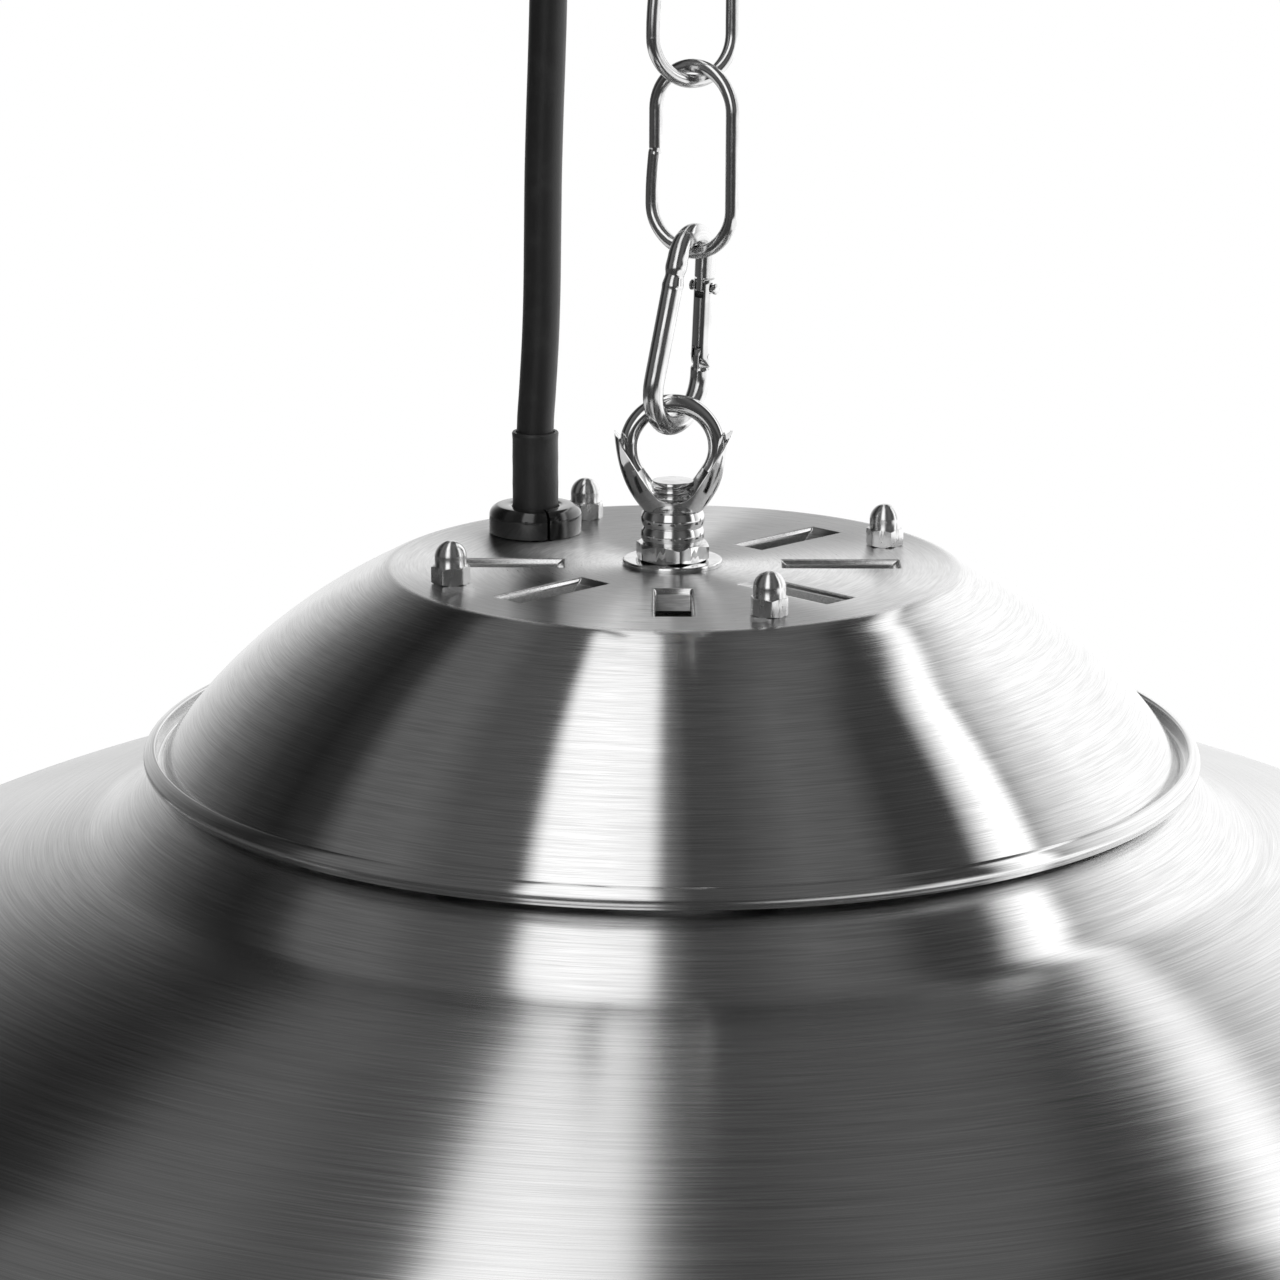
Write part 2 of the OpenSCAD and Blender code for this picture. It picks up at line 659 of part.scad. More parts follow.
// The limbs are a hair thicker than the bends and lap into them
module limb(from, to) {
    translate([0, 0, from])
        cylinder(h = to - from, d = snap_wire + limb_grow);
}
module snap_hook_body() {
    lower_shoulder = gate_hinge_at - snap_wire / 2 - seat_gap;
    upper_shoulder = gate_end + end_gap;
    color("silver")
        snap_frame() {
            translate([0, 0, snap_cb])
                wire_arc(snap_rb, snap_wire, 180 - snap_lean, 180 + 2 * snap_lean);
            translate([0, 0, snap_ct])
                wire_arc(snap_rt, snap_wire, snap_lean, 180 - 2 * snap_lean);
            mirror([1, 0, 0])
                limb_frame()
                    limb(-limb_lap, limb_length + limb_lap);
            limb_frame() {
                limb(-limb_lap, lower_shoulder);
                limb(upper_shoulder, limb_length + limb_lap);
                tongue(latch_tip, upper_shoulder + cut);
                translate([0, latch_pin_length / 2, latch_at])
                    rotate([90, 0, 0])
                        cylinder(h = latch_pin_length, d = latch_pin_d);
                difference() {
                    intersection() {
                        tongue(lower_shoulder - cut, gate_hinge_at + snap_wire);
                        union() {
                            across_hinge(2 * tongue_end_r);
                            translate([-snap_wire, -snap_wire, lower_shoulder - 2 * cut])
                                cube([2 * snap_wire, 2 * snap_wire, gate_hinge_at - lower_shoulder + 2 * cut]);
                        }
                    }
                    across_hinge(gate_pin_d + 2 * fit);
                }
            }
        }
}
module gate_hinge_pin() {
    color("gray")
        snap_frame()
            limb_frame()
                translate([0, snap_wire / 2, gate_hinge_at])
                    rotate([90, 0, 0])
                        cylinder(h = snap_wire, d = gate_pin_d);
}
module snap_hook_gate() {
    low_slot = gate_hinge_at + tongue_end_r + seat_gap;
    pocket = latch_pin_d + 2 * pin_gap;
    color("silver")
        snap_frame()
            limb_frame()
                difference() {
                    intersection() {
                        translate([0, 0, gate_hinge_at - snap_wire / 2])
                            cylinder(h = gate_end - gate_hinge_at + snap_wire / 2, d = snap_wire);
                        union() {
                            across_hinge(snap_wire);
                            translate([-snap_wire, -snap_wire, gate_hinge_at])
                                cube([2 * snap_wire, 2 * snap_wire, limb_length]);
                        }
                    }
                    translate([-snap_wire, -gate_slot / 2, 0])
                        cube([2 * snap_wire, gate_slot, low_slot]);
                    translate([-snap_wire, -gate_slot / 2, latch_tip - seat_gap])
                        cube([2 * snap_wire, gate_slot, limb_length]);
                    translate([-pocket / 2, -snap_wire, latch_at - pocket / 2])
                        cube([2 * snap_wire, 2 * snap_wire, pocket]);
                    across_hinge(gate_pin_d + 2 * fit);
                    translate([0, 0, gate_hinge_at])
                        cylinder(h = gate_bore_top - gate_hinge_at, d = gate_bore_d);
                }
}
module gate_spring() {
    color("gray")
        snap_frame()
            limb_frame()
                translate([0, 0, spring_low])
                    cylinder(h = gate_bore_top - end_gap - spring_low, d = gate_bore_d - 2 * loose);
}

// Suspension eye and its stud
neck_r = eye_neck_d / 2;
cup_outer = bezier3([neck_r - 0.6, cup_z], [eye_cup_r * 0.86, cup_z + eye_cup_height * 0.3],
    [eye_cup_r - 0.6, cup_z + eye_cup_height * 0.62], [eye_cup_r, tip_z], 10);
module suspension_eye() {
    band = eye_neck_height / 2;
    band_r = band * 0.45;
    band_turn = 68;
    bulge = [for (k = [0:1])
        for (p = arc([neck_r - band_r, neck_z + band * (k + 0.5)], band_r, -band_turn, band_turn, 6)) p];
    cup_inner = [for (i = [len(cup_outer) - 1:-1:2]) cup_outer[i] - eye_cup_wall * path_normal(cup_outer, i)];
    bore_r = stud_d / 2 + fit;
    ring_dip = 28;
    section = concat([[bore_r, neck_z], [neck_r - 1, neck_z]], bulge, cup_outer,
        [for (p = cup_inner) [max(p[0], bore_r), p[1]]], [[bore_r, cup_z + 3]]);
    color("silver")
        heater_frame() {
            difference() {
                rotate_extrude()
                    polygon(section);
                rotate([90, 0, 0])
                    translate([0, 0, -2 * eye_cup_r])
                        linear_extrude(4 * eye_cup_r)
                            eye_cut();
            }
            translate([0, 0, eye_ring_height])
                wire_arc(eye_ring_r, eye_wire, -ring_dip, 180 + 2 * ring_dip);
        }
}
module eye_cut() {
    floor_r = 4.2;
    floor_z = cup_z + 3.2 + floor_r;
    hull() {
        translate([0, floor_z])
            circle(r = floor_r);
        polygon([[-eye_cup_r, tip_z], [eye_cup_r, tip_z], [0, floor_z]]);
        translate([-eye_cup_r, tip_z])
            square([2 * eye_cup_r, 5]);
    }
}
inner_nut_h = 8;
module hanging_stud() {
    thread = 0.4;
    pitch = 1.5;
    low = support_z - eye_washer_t - inner_nut_h - 3;
    color("lightgray")
        heater_frame() {
            translate([0, 0, low])
                cylinder(h = cup_z - low, d = stud_d);
            translate([0, 0, cup_z])
                rotate_extrude()
                    polygon(concat([[0, 0]], [for (z = [0:pitch:stud_top - cup_z - pitch + 0.1])
                        each [[stud_d / 2, z], [stud_d / 2, z + pitch * 0.4],
                            [stud_d / 2 - thread, z + pitch * 0.6], [stud_d / 2 - thread, z + pitch * 0.8]]],
                        [[stud_d / 2, stud_top - cup_z - 0.8], [stud_d / 2, stud_top - cup_z],
                            [0, stud_top - cup_z]]));
        }
}
module eye_lock_nut() {
    turn = -20;
    color("silver")
        heater_frame()
            translate([0, 0, lock_nut_z])
                rotate([0, 0, turn])
                    hex_nut(lock_nut_flats, lock_nut_height, stud_d + 2 * fit);
}
module eye_washer() {
    color("silver")
        heater_frame()
            washer(eye_washer_d, eye_washer_t, stud_d + 2 * loose);
}
module stud_inner_washer() {
    color("silver")
        heater_frame()
            translate([0, 0, support_z - eye_washer_t])
                washer(eye_washer_d, eye_washer_t, stud_d + 2 * loose);
}
module stud_inner_nut() {
    color("silver")
        heater_frame()
            translate([0, 0, support_z - eye_washer_t - inner_nut_h])
                hex_nut(lock_nut_flats, inner_nut_h, stud_d + 2 * fit);
}

// Cap with pressed slots
// One place stays free for the cable
cable_place = 3;
function slot_angles() = [for (i = [0:slot_places - 1]) if (i != cable_place) i * 360 / slot_places];
module slot_prism(grow, depth) {
    from = slot_start_r - grow;
    to = slot_start_r + slot_length + grow;
    rotate([90, 0, 0])
        translate([0, 0, -slot_width / 2 - grow])
            linear_extrude(slot_width + 2 * grow)
                polygon([[from, 0], [to, 0], [to - depth, -depth], [from + depth, -depth]]);
}
module top_cap() {
    color([0.75, 0.76, 0.78])
        heater_frame() {
            difference() {
                union() {
                    spun(sheet(cap_path, cap_sheet));
                    for (a = slot_angles())
                        rotate([0, 0, a])
                            slot_prism(cap_sheet * 0.8, slot_depth);
                }
                for (a = slot_angles())
                    rotate([0, 0, a])
                        translate([0, 0, 0.01])
                            slot_prism(0.01, slot_depth + 0.02);
                at_rods()
                    translate([0, 0, -2 * cap_sheet])
                        cylinder(h = 3 * cap_sheet, d = rod_d + 2 * loose);
                translate([grip_x, grip_y, -2 * cap_sheet])
                    cylinder(h = 3 * cap_sheet, d = grip_barrel_d + 2 * fit);
            }
            rotate_extrude($fn = 180)
                translate(bead_centre)
                    circle(r = bead_r, $fn = 32);
        }
}
module dome_nuts() {
    dome_r = dome_nut_flats * 0.46;
    tip_angle = 86;
    dome = arc([0, dome_nut_height - dome_r], dome_r, 0, tip_angle, 10);
    color("silver")
        heater_frame()
            at_rods()
                difference() {
                    union() {
                        rotate([0, 0, nut_turn[$rod]])
                            hex_block(dome_nut_flats, dome_nut_hex);
                        rotate_extrude()
                            polygon(concat([[0, cut], [dome_r, cut]], dome, [[0, dome[10][1]]]));
                    }
                    translate([0, 0, -cut])
                        cylinder(h = rod_head_z + loose + cut, d = rod_d + 2 * fit);
                }
}
module tie_rods() {
    color("gray")
        heater_frame()
            at_rods()
                translate([0, 0, rod_end_z])
                    cylinder(h = rod_head_z - rod_end_z, d = rod_d);
}
module support_plate() {
    hub_r = eye_washer_d / 2 + 5;
    slot_room = 1.2;
    color("gray")
        heater_frame()
            translate([0, 0, support_z])
                difference() {
                    union() {
                        cylinder(h = support_t, r = hub_r);
                        for (i = [0:3])
                            rotate([0, 0, rod_turn + 90 * i]) {
                                translate([0, -support_arm_w / 2, 0])
                                    cube([rod_circle_r, support_arm_w, support_t]);
                                translate([rod_circle_r, 0, 0])
                                    cylinder(h = support_t, d = support_arm_w);
                            }
                    }
                    translate([0, 0, -cut])
                        cylinder(h = support_t + 2 * cut, d = stud_d + 2 * loose);
                    at_rods()
                        translate([0, 0, -cut])
                            cylinder(h = support_t + 2 * cut, d = rod_d + 2 * loose);
                    for (a = slot_angles())
                        rotate([0, 0, a])
                            translate([slot_start_r - 2, -slot_width / 2 - slot_room, -cut])
                                cube([slot_length + 4, slot_width + 2 * slot_room, support_t + 2 * cut]);
                    translate([grip_x, grip_y, -cut])
                        cylinder(h = support_t + 2 * cut, d = grip_barrel_d + 4);
                }
}
module tube_stack(low, high) {
    heater_frame()
        at_rods()
            translate([0, 0, low])
                difference() {
                    cylinder(h = high - low, d = spacer_d);
                    translate([0, 0, -cut])
                        cylinder(h = high - low + 2 * cut, d = rod_d + 2 * loose);
                }
}
module spacer_tubes() {
    color("gray")
        tube_stack(crown_z, support_z);
}
module reflector_spacers() {
    color("gray")
        tube_stack(reflector_z, crown_bottom);
}
module reflector_nuts() {
    color("silver")
        heater_frame()
            at_rods()
                translate([0, 0, reflector_bottom - rod_nut_h])
                    hex_nut(dome_nut_flats, rod_nut_h, rod_d + 2 * fit);
}

// Shade and reflector
module crown_holes(z, t) {
    at_rods()
        translate([0, 0, z - t - cut])
            cylinder(h = t + 2 * cut, d = rod_d + 2 * loose);
    at_grommets()
        translate([0, 0, z - t - cut])
            cylinder(h = t + 2 * cut, d = grommet_d + 2 * fit);
}
module at_grommets() {
    for (side = [-1, 1])
        rotate([0, 0, lamp_turn + side * grommet_turn])
            translate([grommet_r, 0, 0])
                children();
}
module skirt_screw_frame() {
    r = skirt_end[0] - (guard_screw_z - skirt_end[1]) * tan(skirt_lean);
    for (i = [0:3])
        rotate([0, 0, guard_clip_turn + 90 * i])
            translate([r, 0, guard_screw_z])
                rotate([0, 90 - skirt_lean, 0])
                    children();
}
module main_shade() {
    color([0.78, 0.79, 0.8])
        heater_frame() {
            difference() {
                spun(sheet(shade_path, shade_sheet));
                crown_holes(crown_z, shade_sheet);
                skirt_screw_frame()
                    translate([0, 0, -3 * shade_sheet])
                        cylinder(h = 6 * shade_sheet, d = guard_screw_d + 2 * loose);
            }
            rotate_extrude($fn = 180)
                translate(shade_bead)
                    circle(d = shade_bead_d, $fn = 32);
        }
}
module reflector() {
    color("whitesmoke")
        heater_frame()
            difference() {
                spun(sheet(reflector_path, reflector_sheet));
                crown_holes(reflector_z, reflector_sheet);
            }
}

// Wiring in the cap
module wiring_frame() {
    heater_frame()
        rotate([0, 0, wiring_turn])
            children();
}
module terminal_block() {
    color("ivory")
        wiring_frame()
            translate([terminal_r - terminal_size[0] / 2, -terminal_size[1] / 2, crown_z])
                cube(terminal_size);
}
module terminal_screws() {
    color("gold")
        wiring_frame()
            for (i = [-1:1])
                translate([terminal_r, i * terminal_pitch, crown_z + terminal_size[2]])
                    cylinder(h = screw_head_h, d = screw_head_d);
}
earth_screw_d = 5;
module earth_screw() {
    color("silver")
        wiring_frame()
            translate([earth_at[0], earth_at[1], crown_z])
                cylinder(h = earth_screw_d, d = earth_screw_d);
}
lead_z = crown_z + 5;
lead_in_r = terminal_r - terminal_size[0] / 2 - seat_gap;
lead_out_r = terminal_r + terminal_size[0] / 2 + seat_gap;
grommet_at = grommet_r * [cos(grommet_turn), sin(grommet_turn)];
cap_end = lamp_r * [cos(lamp_half_gap), sin(lamp_half_gap)]
    + (lamp_cap_length - lamp_sleeve) * [sin(lamp_half_gap), -cos(lamp_half_gap)];
// The live and neutral leads mirror each other
module lamp_lead() {
    top = cable_low_z - seat_gap;
    in_points = [[grip_r + 0.6, 2.4, top], [grip_r + 0.8, 3.2, top - 7], [grip_r + 2, 6, lead_z + 12],
        [grip_r + 6, terminal_pitch - 1, lead_z + 3], [lead_in_r, terminal_pitch, lead_z]];
    out_points = [[lead_out_r, terminal_pitch, lead_z], [lead_out_r + 4, terminal_pitch + 0.6, lead_z + 1],
        [grommet_at[0] - 3, grommet_at[1] - 0.6, lead_z + 3], [grommet_at[0], grommet_at[1], lead_z - 1],
        [grommet_at[0], grommet_at[1], crown_z - 4], [grommet_at[0], grommet_at[1], reflector_z - 8],
        [grommet_at[0] + 1, grommet_at[1] - 3, reflector_z - 17],
        [(grommet_at[0] + cap_end[0]) / 2, cap_end[1] - 6, lamp_z + 2],
        [cap_end[0] - 2, cap_end[1] - 4, lamp_z],
        [cap_end[0] + seat_gap * sin(lamp_half_gap), cap_end[1] - seat_gap * cos(lamp_half_gap), lamp_z]];
    swept_tube(route(in_points, 3), lead_d, 8, [0, 1, 0.1]);
    swept_tube(route(out_points, 3), lead_d, 8, [0.3, 1, 0]);
}
module live_lead() {
    color("saddlebrown")
        wiring_frame()
            lamp_lead();
}
module neutral_lead() {
    color("royalblue")
        wiring_frame()
            mirror([0, 1, 0])
                lamp_lead();
}
module earth_lead() {
    top = cable_low_z - seat_gap;
    earth_z = crown_z + 3;
    near = (lead_d + earth_screw_d) / 2 + seat_gap;
    points = [[grip_r - 2.2, 0, top], [grip_r - 3.4, 1.5, top - 7], [grip_r - 3.5, 8, lead_z + 12],
        [grip_r - 0.5, 17, lead_z + 4], [earth_at[0] - near, earth_at[1] - 5, earth_z],
        [earth_at[0] - near, earth_at[1] + 2, earth_z]];
    color("limegreen")
        wiring_frame()
            swept_tube(route(points, 3), lead_d, 8, [1, 0.2, 0.1]);
}
module lead_grommets() {
    flange = 1.5;
    flange_d = grommet_d + 3;
    low = reflector_z - 6;
    color("ivory")
        wiring_frame()
            for (side = [-1, 1])
                translate([grommet_at[0], side * grommet_at[1], 0])
                    difference() {
                        union() {
                            translate([0, 0, low])
                                cylinder(h = crown_z - low, d = grommet_d);
                            translate([0, 0, crown_z])
                                cylinder(h = flange, d = flange_d);
                        }
                        translate([0, 0, low - cut])
                            cylinder(h = crown_z - low + flange + 2 * cut, d = lead_d + 4 * loose);
                    }
}

// Cable
module cable_grip() {
    flange_r = grip_flange_d / 2;
    barrel_r = grip_barrel_d / 2;
    catch_r = barrel_r + 0.7;
    nose_r = barrel_r - 0.6;
    round_r = 2.5;
    barrel_low = -7;
    catch_z = -cap_sheet - seat_gap;
    split = 0.7;
    split_turn = -72;
    color([0.05, 0.05, 0.05])
        heater_frame()
            translate([grip_x, grip_y, 0])
                difference() {
                    rotate_extrude()
                        polygon(concat([[sleeve_d / 2 + fit, barrel_low], [nose_r, barrel_low],
                            [catch_r, catch_z - 1.5], [catch_r, catch_z],
                            [barrel_r, catch_z], [barrel_r, 0], [flange_r, 0]],
                            arc([flange_r - round_r, grip_flange_h - round_r], round_r, 0, 90, 6),
                            [[sleeve_d / 2 + fit, grip_flange_h]]));
                    rotate([0, 0, split_turn])
                        translate([sleeve_d / 2 - 1, -split / 2, barrel_low - cut])
                            cube([grip_flange_d, split, grip_flange_h - barrel_low + 2 * cut]);
                }
}
module cable_sleeve() {
    sleeve_low = -9;
    color([0.16, 0.16, 0.16])
        heater_frame()
            translate([grip_x, grip_y, sleeve_low])
                difference() {
                    cylinder(h = sleeve_top - sleeve_low, d = sleeve_d);
                    translate([0, 0, -cut])
                        cylinder(h = sleeve_top - sleeve_low + 2 * cut, d = cable_d + 2 * loose);
                }
}
module power_cable() {
    color([0.1, 0.1, 0.1])
        swept_tube(cable_points, cable_d, 12, [0, 1, 0]);
}

// Lamp
module lamp_ring(d, open) {
    rotate([0, 0, lamp_turn + open])
        rotate_extrude(angle = 360 - 2 * open, $fn = 128)
            translate([lamp_r, 0])
                circle(d = d, $fn = 32);
}
module lamp_tube() {
    color([0.9, 0.75, 0.4, 0.6])
        heater_frame()
            translate([0, 0, lamp_z])
                difference() {
                    lamp_ring(lamp_tube_d, lamp_half_gap);
                    lamp_ring(lamp_tube_d - 2 * lamp_wall, lamp_half_gap - 1);
                }
}
module lamp_filament() {
    color("dimgray")
        heater_frame()
            translate([0, 0, lamp_z])
                lamp_ring(filament_d, lamp_half_gap);
}
module lamp_end_caps() {
    bore = lamp_tube_d + 1.2;
    color("ivory")
        wiring_frame()
            for (side = [0, 1])
                mirror([0, side, 0])
                    translate([lamp_r * cos(lamp_half_gap), lamp_r * sin(lamp_half_gap), lamp_z])
                        rotate([90, 0, lamp_half_gap])
                            difference() {
                                translate([0, 0, -lamp_sleeve])
                                    cylinder(h = lamp_cap_length, d = lamp_cap_d);
                                translate([0, 0, -lamp_sleeve - cut])
                                    cylinder(h = lamp_sleeve + cut + seat_gap, d = bore);
                            }
}
module lamp_clips() {
    bore = lamp_tube_d + 2 * seat_gap;
    outer = bore + 2 * clip_wall;
    mouth = bore * 0.6;
    post_low = bore / 2 + 0.3;
    post_top = reflector_under(lamp_r + clip_w / 2) - 0.1;
    color("silver")
        heater_frame()
            for (turn = [75, 180, 285])
                rotate([0, 0, lamp_turn + turn])
                    translate([lamp_r, 0, lamp_z]) {
                        difference() {
                            rotate([90, 0, 0])
                                translate([0, 0, -clip_w / 2])
                                    cylinder(h = clip_w, d = outer);
                            rotate([90, 0, 0])
                                translate([0, 0, -clip_w])
                                    cylinder(h = 2 * clip_w, d = bore);
                            translate([-mouth / 2, -clip_w, -outer])
                                cube([mouth, 2 * clip_w, outer]);
                        }
                        translate([-clip_wall / 2, -clip_w / 2, post_low])
                            cube([clip_wall, clip_w, post_top - lamp_z - post_low]);
                        translate([-clip_w / 2, -clip_w / 2, post_top - lamp_z - clip_wall])
                            cube([clip_w, clip_w, clip_wall]);
                    }
}

// Guard
module guard_ring(r, d) {
    rotate_extrude($fn = 128)
        translate([r, 0])
            circle(d = d, $fn = 24);
}
module guard_rings() {
    ring_step = (guard_r - guard_inner_r) / guard_ring_count;
    ring_z = guard_z + (guard_ring_wire - guard_wire) / 2;
    color("silver")
        heater_frame() {
            translate([0, 0, guard_z])
                guard_ring(guard_r, guard_ring_wire);
            for (i = [0:guard_ring_count - 1])
                translate([0, 0, ring_z])
                    guard_ring(guard_inner_r + i * ring_step, guard_wire);
        }
}
// The spokes lie on the rings, spot welded to them
module guard_spokes() {
    color("silver")
        heater_frame()
            for (i = [0:guard_spoke_count - 1])
                rotate([0, 0, i * 360 / guard_spoke_count])
                    bar([guard_inner_r - guard_wire, 0, guard_spoke_z], [guard_r + 1, 0, guard_spoke_z],
                        guard_wire);
}
function skirt_inside(z) = skirt_end[0] - (z - skirt_end[1]) * tan(skirt_lean)
    - shade_sheet / cos(skirt_lean) - 0.1;
module guard_clips() {
    foot_z = guard_z + guard_ring_wire / 2 + 0.1;
    top_z = guard_screw_z + 6;
    foot_in = guard_r - guard_ring_wire;
    half_turn = asin(guard_clip_w / 2 / guard_r);
    color("silver")
        heater_frame()
            difference() {
                for (i = [0:3])
                    rotate([0, 0, guard_clip_turn + 90 * i - half_turn])
                        rotate_extrude(angle = 2 * half_turn, $fn = 180)
                            polygon([[skirt_inside(foot_z), foot_z], [skirt_inside(top_z), top_z],
                                [skirt_inside(top_z) - guard_clip_t, top_z],
                                [skirt_inside(foot_z) - guard_clip_t, foot_z + guard_clip_t],
                                [foot_in, foot_z + guard_clip_t], [foot_in, foot_z]]);
                skirt_screw_frame()
                    translate([0, 0, -3 * guard_clip_t])
                        cylinder(h = 6 * guard_clip_t, d = guard_screw_d + 2 * fit);
            }
}
module guard_screws() {
    reach = shade_sheet + guard_clip_t + 3;
    head_h = 2.4;
    dome_r = 1.6 * guard_screw_d;
    cross = [4.4, 1, 2];
    color("silver")
        heater_frame()
            skirt_screw_frame() {
                translate([0, 0, -reach])
                    cylinder(h = reach + 0.1, d = guard_screw_d);
                translate([0, 0, 0.1])
                    difference() {
                        intersection() {
                            cylinder(h = head_h, d = 2 * guard_screw_d);
                            translate([0, 0, head_h - dome_r])
                                sphere(r = dome_r);
                        }
                        for (a = [0, 90])
                            rotate([0, 0, a])
                                translate([-cross[0] / 2, -cross[1] / 2, head_h / 2])
                                    cube(cross);
                    }
            }
}

ceiling_bracket();
ceiling_rose();
ceiling_hook();
hook_nuts();
rose_nut();
cable_gland();
gland_nut();
supply_tail();
supply_connector();
connector_screws();
chain_link_3();
chain_link_2();
chain_link_1();
snap_hook_body();
gate_hinge_pin();
snap_hook_gate();
gate_spring();
suspension_eye();
hanging_stud();
eye_lock_nut();
eye_washer();
stud_inner_washer();
stud_inner_nut();
top_cap();
dome_nuts();
tie_rods();
support_plate();
spacer_tubes();
main_shade();
reflector_spacers();
reflector();
reflector_nuts();
terminal_block();
terminal_screws();
earth_screw();
live_lead();
neutral_lead();
earth_lead();
cable_grip();
cable_sleeve();
power_cable();
lamp_tube();
lamp_filament();
lamp_end_caps();
lamp_clips();
lead_grommets();
guard_rings();
guard_spokes();
guard_clips();
guard_screws();
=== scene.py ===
from math import acos, asin, atan, atan2, comb, cos, degrees, exp, pi, radians, sin, sqrt, tan

import bmesh
import bpy
from mathutils import Matrix, Vector
from mathutils.geometry import delaunay_2d_cdt


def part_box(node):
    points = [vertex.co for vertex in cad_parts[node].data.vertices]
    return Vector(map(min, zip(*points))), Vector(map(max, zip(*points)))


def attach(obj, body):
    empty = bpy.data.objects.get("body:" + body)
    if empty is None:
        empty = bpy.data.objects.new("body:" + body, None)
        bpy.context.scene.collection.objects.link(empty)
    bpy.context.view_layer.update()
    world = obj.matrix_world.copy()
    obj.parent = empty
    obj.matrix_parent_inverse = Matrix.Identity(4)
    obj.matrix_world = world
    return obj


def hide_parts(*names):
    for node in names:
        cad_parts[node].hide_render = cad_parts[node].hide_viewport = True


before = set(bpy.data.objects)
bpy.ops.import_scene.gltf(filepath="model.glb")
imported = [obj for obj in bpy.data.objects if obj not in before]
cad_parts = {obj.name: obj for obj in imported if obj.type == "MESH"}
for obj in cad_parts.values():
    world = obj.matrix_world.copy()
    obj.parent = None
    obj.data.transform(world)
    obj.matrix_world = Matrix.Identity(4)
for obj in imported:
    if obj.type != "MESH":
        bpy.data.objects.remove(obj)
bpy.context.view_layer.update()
mm = 0.001

# the heater's own frame: its axis, and the top of its cap
capLow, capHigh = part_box("top_cap")
axisX = (capLow.x + capHigh.x) / 2
capTop = capHigh.z
heaterFrame = Matrix.Translation((axisX, 0, capTop))
print("frame loaded, axis at", round(axisX, 4), "cap top at", round(capTop, 4))

# ---- camera and cable first

cameraSetup = {"back": 899, "aside": -7.6, "rise": 203.8, "pitch": 13.9, "roll": 0.2, "lens": 109.9}

cameraData = bpy.data.cameras.new("camera")
cameraData.lens = cameraSetup["lens"]
cameraData.sensor_width = 36
cameraData.clip_end = 60
camera = bpy.data.objects.new("camera", cameraData)
bpy.context.scene.collection.objects.link(camera)
camera.matrix_world = (
    Matrix.Translation((axisX + cameraSetup["aside"] * mm, -cameraSetup["back"] * mm,
                        capTop + cameraSetup["rise"] * mm))
    @ Matrix.Rotation(radians(90 - cameraSetup["pitch"]), 4, "X")
    @ Matrix.Rotation(radians(cameraSetup["roll"]), 4, "Z")
)
bpy.context.scene.camera = camera


# ---- node nets: one socket wrapper, used for shaders and for geometry

def operator(kind, reflected=False):
    def apply(self, other):
        return self.net.maths(kind, other, self) if reflected else self.net.maths(kind, self, other)
    return apply


class Signal:
    def __init__(self, net, socket):
        self.net = net
        self.socket = socket

    __add__, __radd__ = operator("ADD"), operator("ADD", True)
    __sub__, __rsub__ = operator("SUBTRACT"), operator("SUBTRACT", True)
    __mul__, __rmul__ = operator("MULTIPLY"), operator("MULTIPLY", True)
    __truediv__, __rtruediv__ = operator("DIVIDE"), operator("DIVIDE", True)


class Net:
    def __init__(self, tree):
        self.tree = tree

    def add(self, kind, settings=None, inputs=None, output=0):
        node = self.tree.nodes.new(kind)
        for name, value in (settings or {}).items():
            if name == "stops":
                self.setStops(node.color_ramp, value)
            else:
                setattr(node, name, value)
        for name, value in (inputs or {}).items():
            self.feed(node.inputs[name], value)
        return Signal(self, node.outputs[output]) if node.outputs else node

    def feed(self, socket, value):
        if isinstance(value, Signal):
            self.tree.links.new(value.socket, socket)
        else:
            socket.default_value = value

    def setStops(self, ramp, stops):
        while len(ramp.elements) < len(stops):
            ramp.elements.new(1)
        for element, (place, level) in zip(ramp.elements, stops):
            element.position = place
            element.color = (level, level, level, 1) if isinstance(level, (int, float)) else (*level, 1)

    def maths(self, operation, *values):
        return self.add("ShaderNodeMath", {"operation": operation}, dict(enumerate(values)))

    def parts(self, vector):
        node = self.tree.nodes.new("ShaderNodeSeparateXYZ")
        self.feed(node.inputs[0], vector)
        return [Signal(self, socket) for socket in node.outputs]

    def joined(self, x, y, z):
        return self.add("ShaderNodeCombineXYZ", None, {0: x, 1: y, 2: z})

    def between(self, value, low, high, toLow=0.0, toHigh=1.0, smooth=True):
        kind = "SMOOTHSTEP" if smooth else "LINEAR"
        return self.add("ShaderNodeMapRange", {"interpolation_type": kind},
                        {"Value": value, "From Min": low, "From Max": high, "To Min": toLow, "To Max": toHigh})

    def mixColours(self, share, first, second):
        return self.add("ShaderNodeMix", {"data_type": "RGBA"}, {0: share, 6: first, 7: second}, 2)

    def noise(self, vector, scale, detail=2.0, roughness=0.5, w=None):
        inputs = {"Vector": vector, "Scale": scale, "Detail": detail, "Roughness": roughness}
        if w is None:
            return self.add("ShaderNodeTexNoise", None, inputs)
        return self.add("ShaderNodeTexNoise", {"noise_dimensions": "4D"}, dict(inputs, W=w))

    def bump(self, strength, distance, height):
        return self.add("ShaderNodeBump", None, {"Strength": strength, "Distance": distance, "Height": height})

    def objectPlace(self):
        return self.add("ShaderNodeTexCoord", output=3)


def newFinish(name):
    material = bpy.data.materials.new(name)
    material.use_nodes = True
    material.node_tree.nodes.clear()
    return material, Net(material.node_tree)


def closeFinish(net, shader):
    output = net.tree.nodes.new("ShaderNodeOutputMaterial")
    net.feed(output.inputs["Surface"], shader)


def closePrincipled(net, inputs):
    closeFinish(net, net.add("ShaderNodeBsdfPrincipled", None, inputs))


def closeMetal(net, tone, rough, bump, more=None):
    closePrincipled(net, {"Base Color": tone, "Metallic": 1.0, "Roughness": rough, "Normal": bump, **(more or {})})


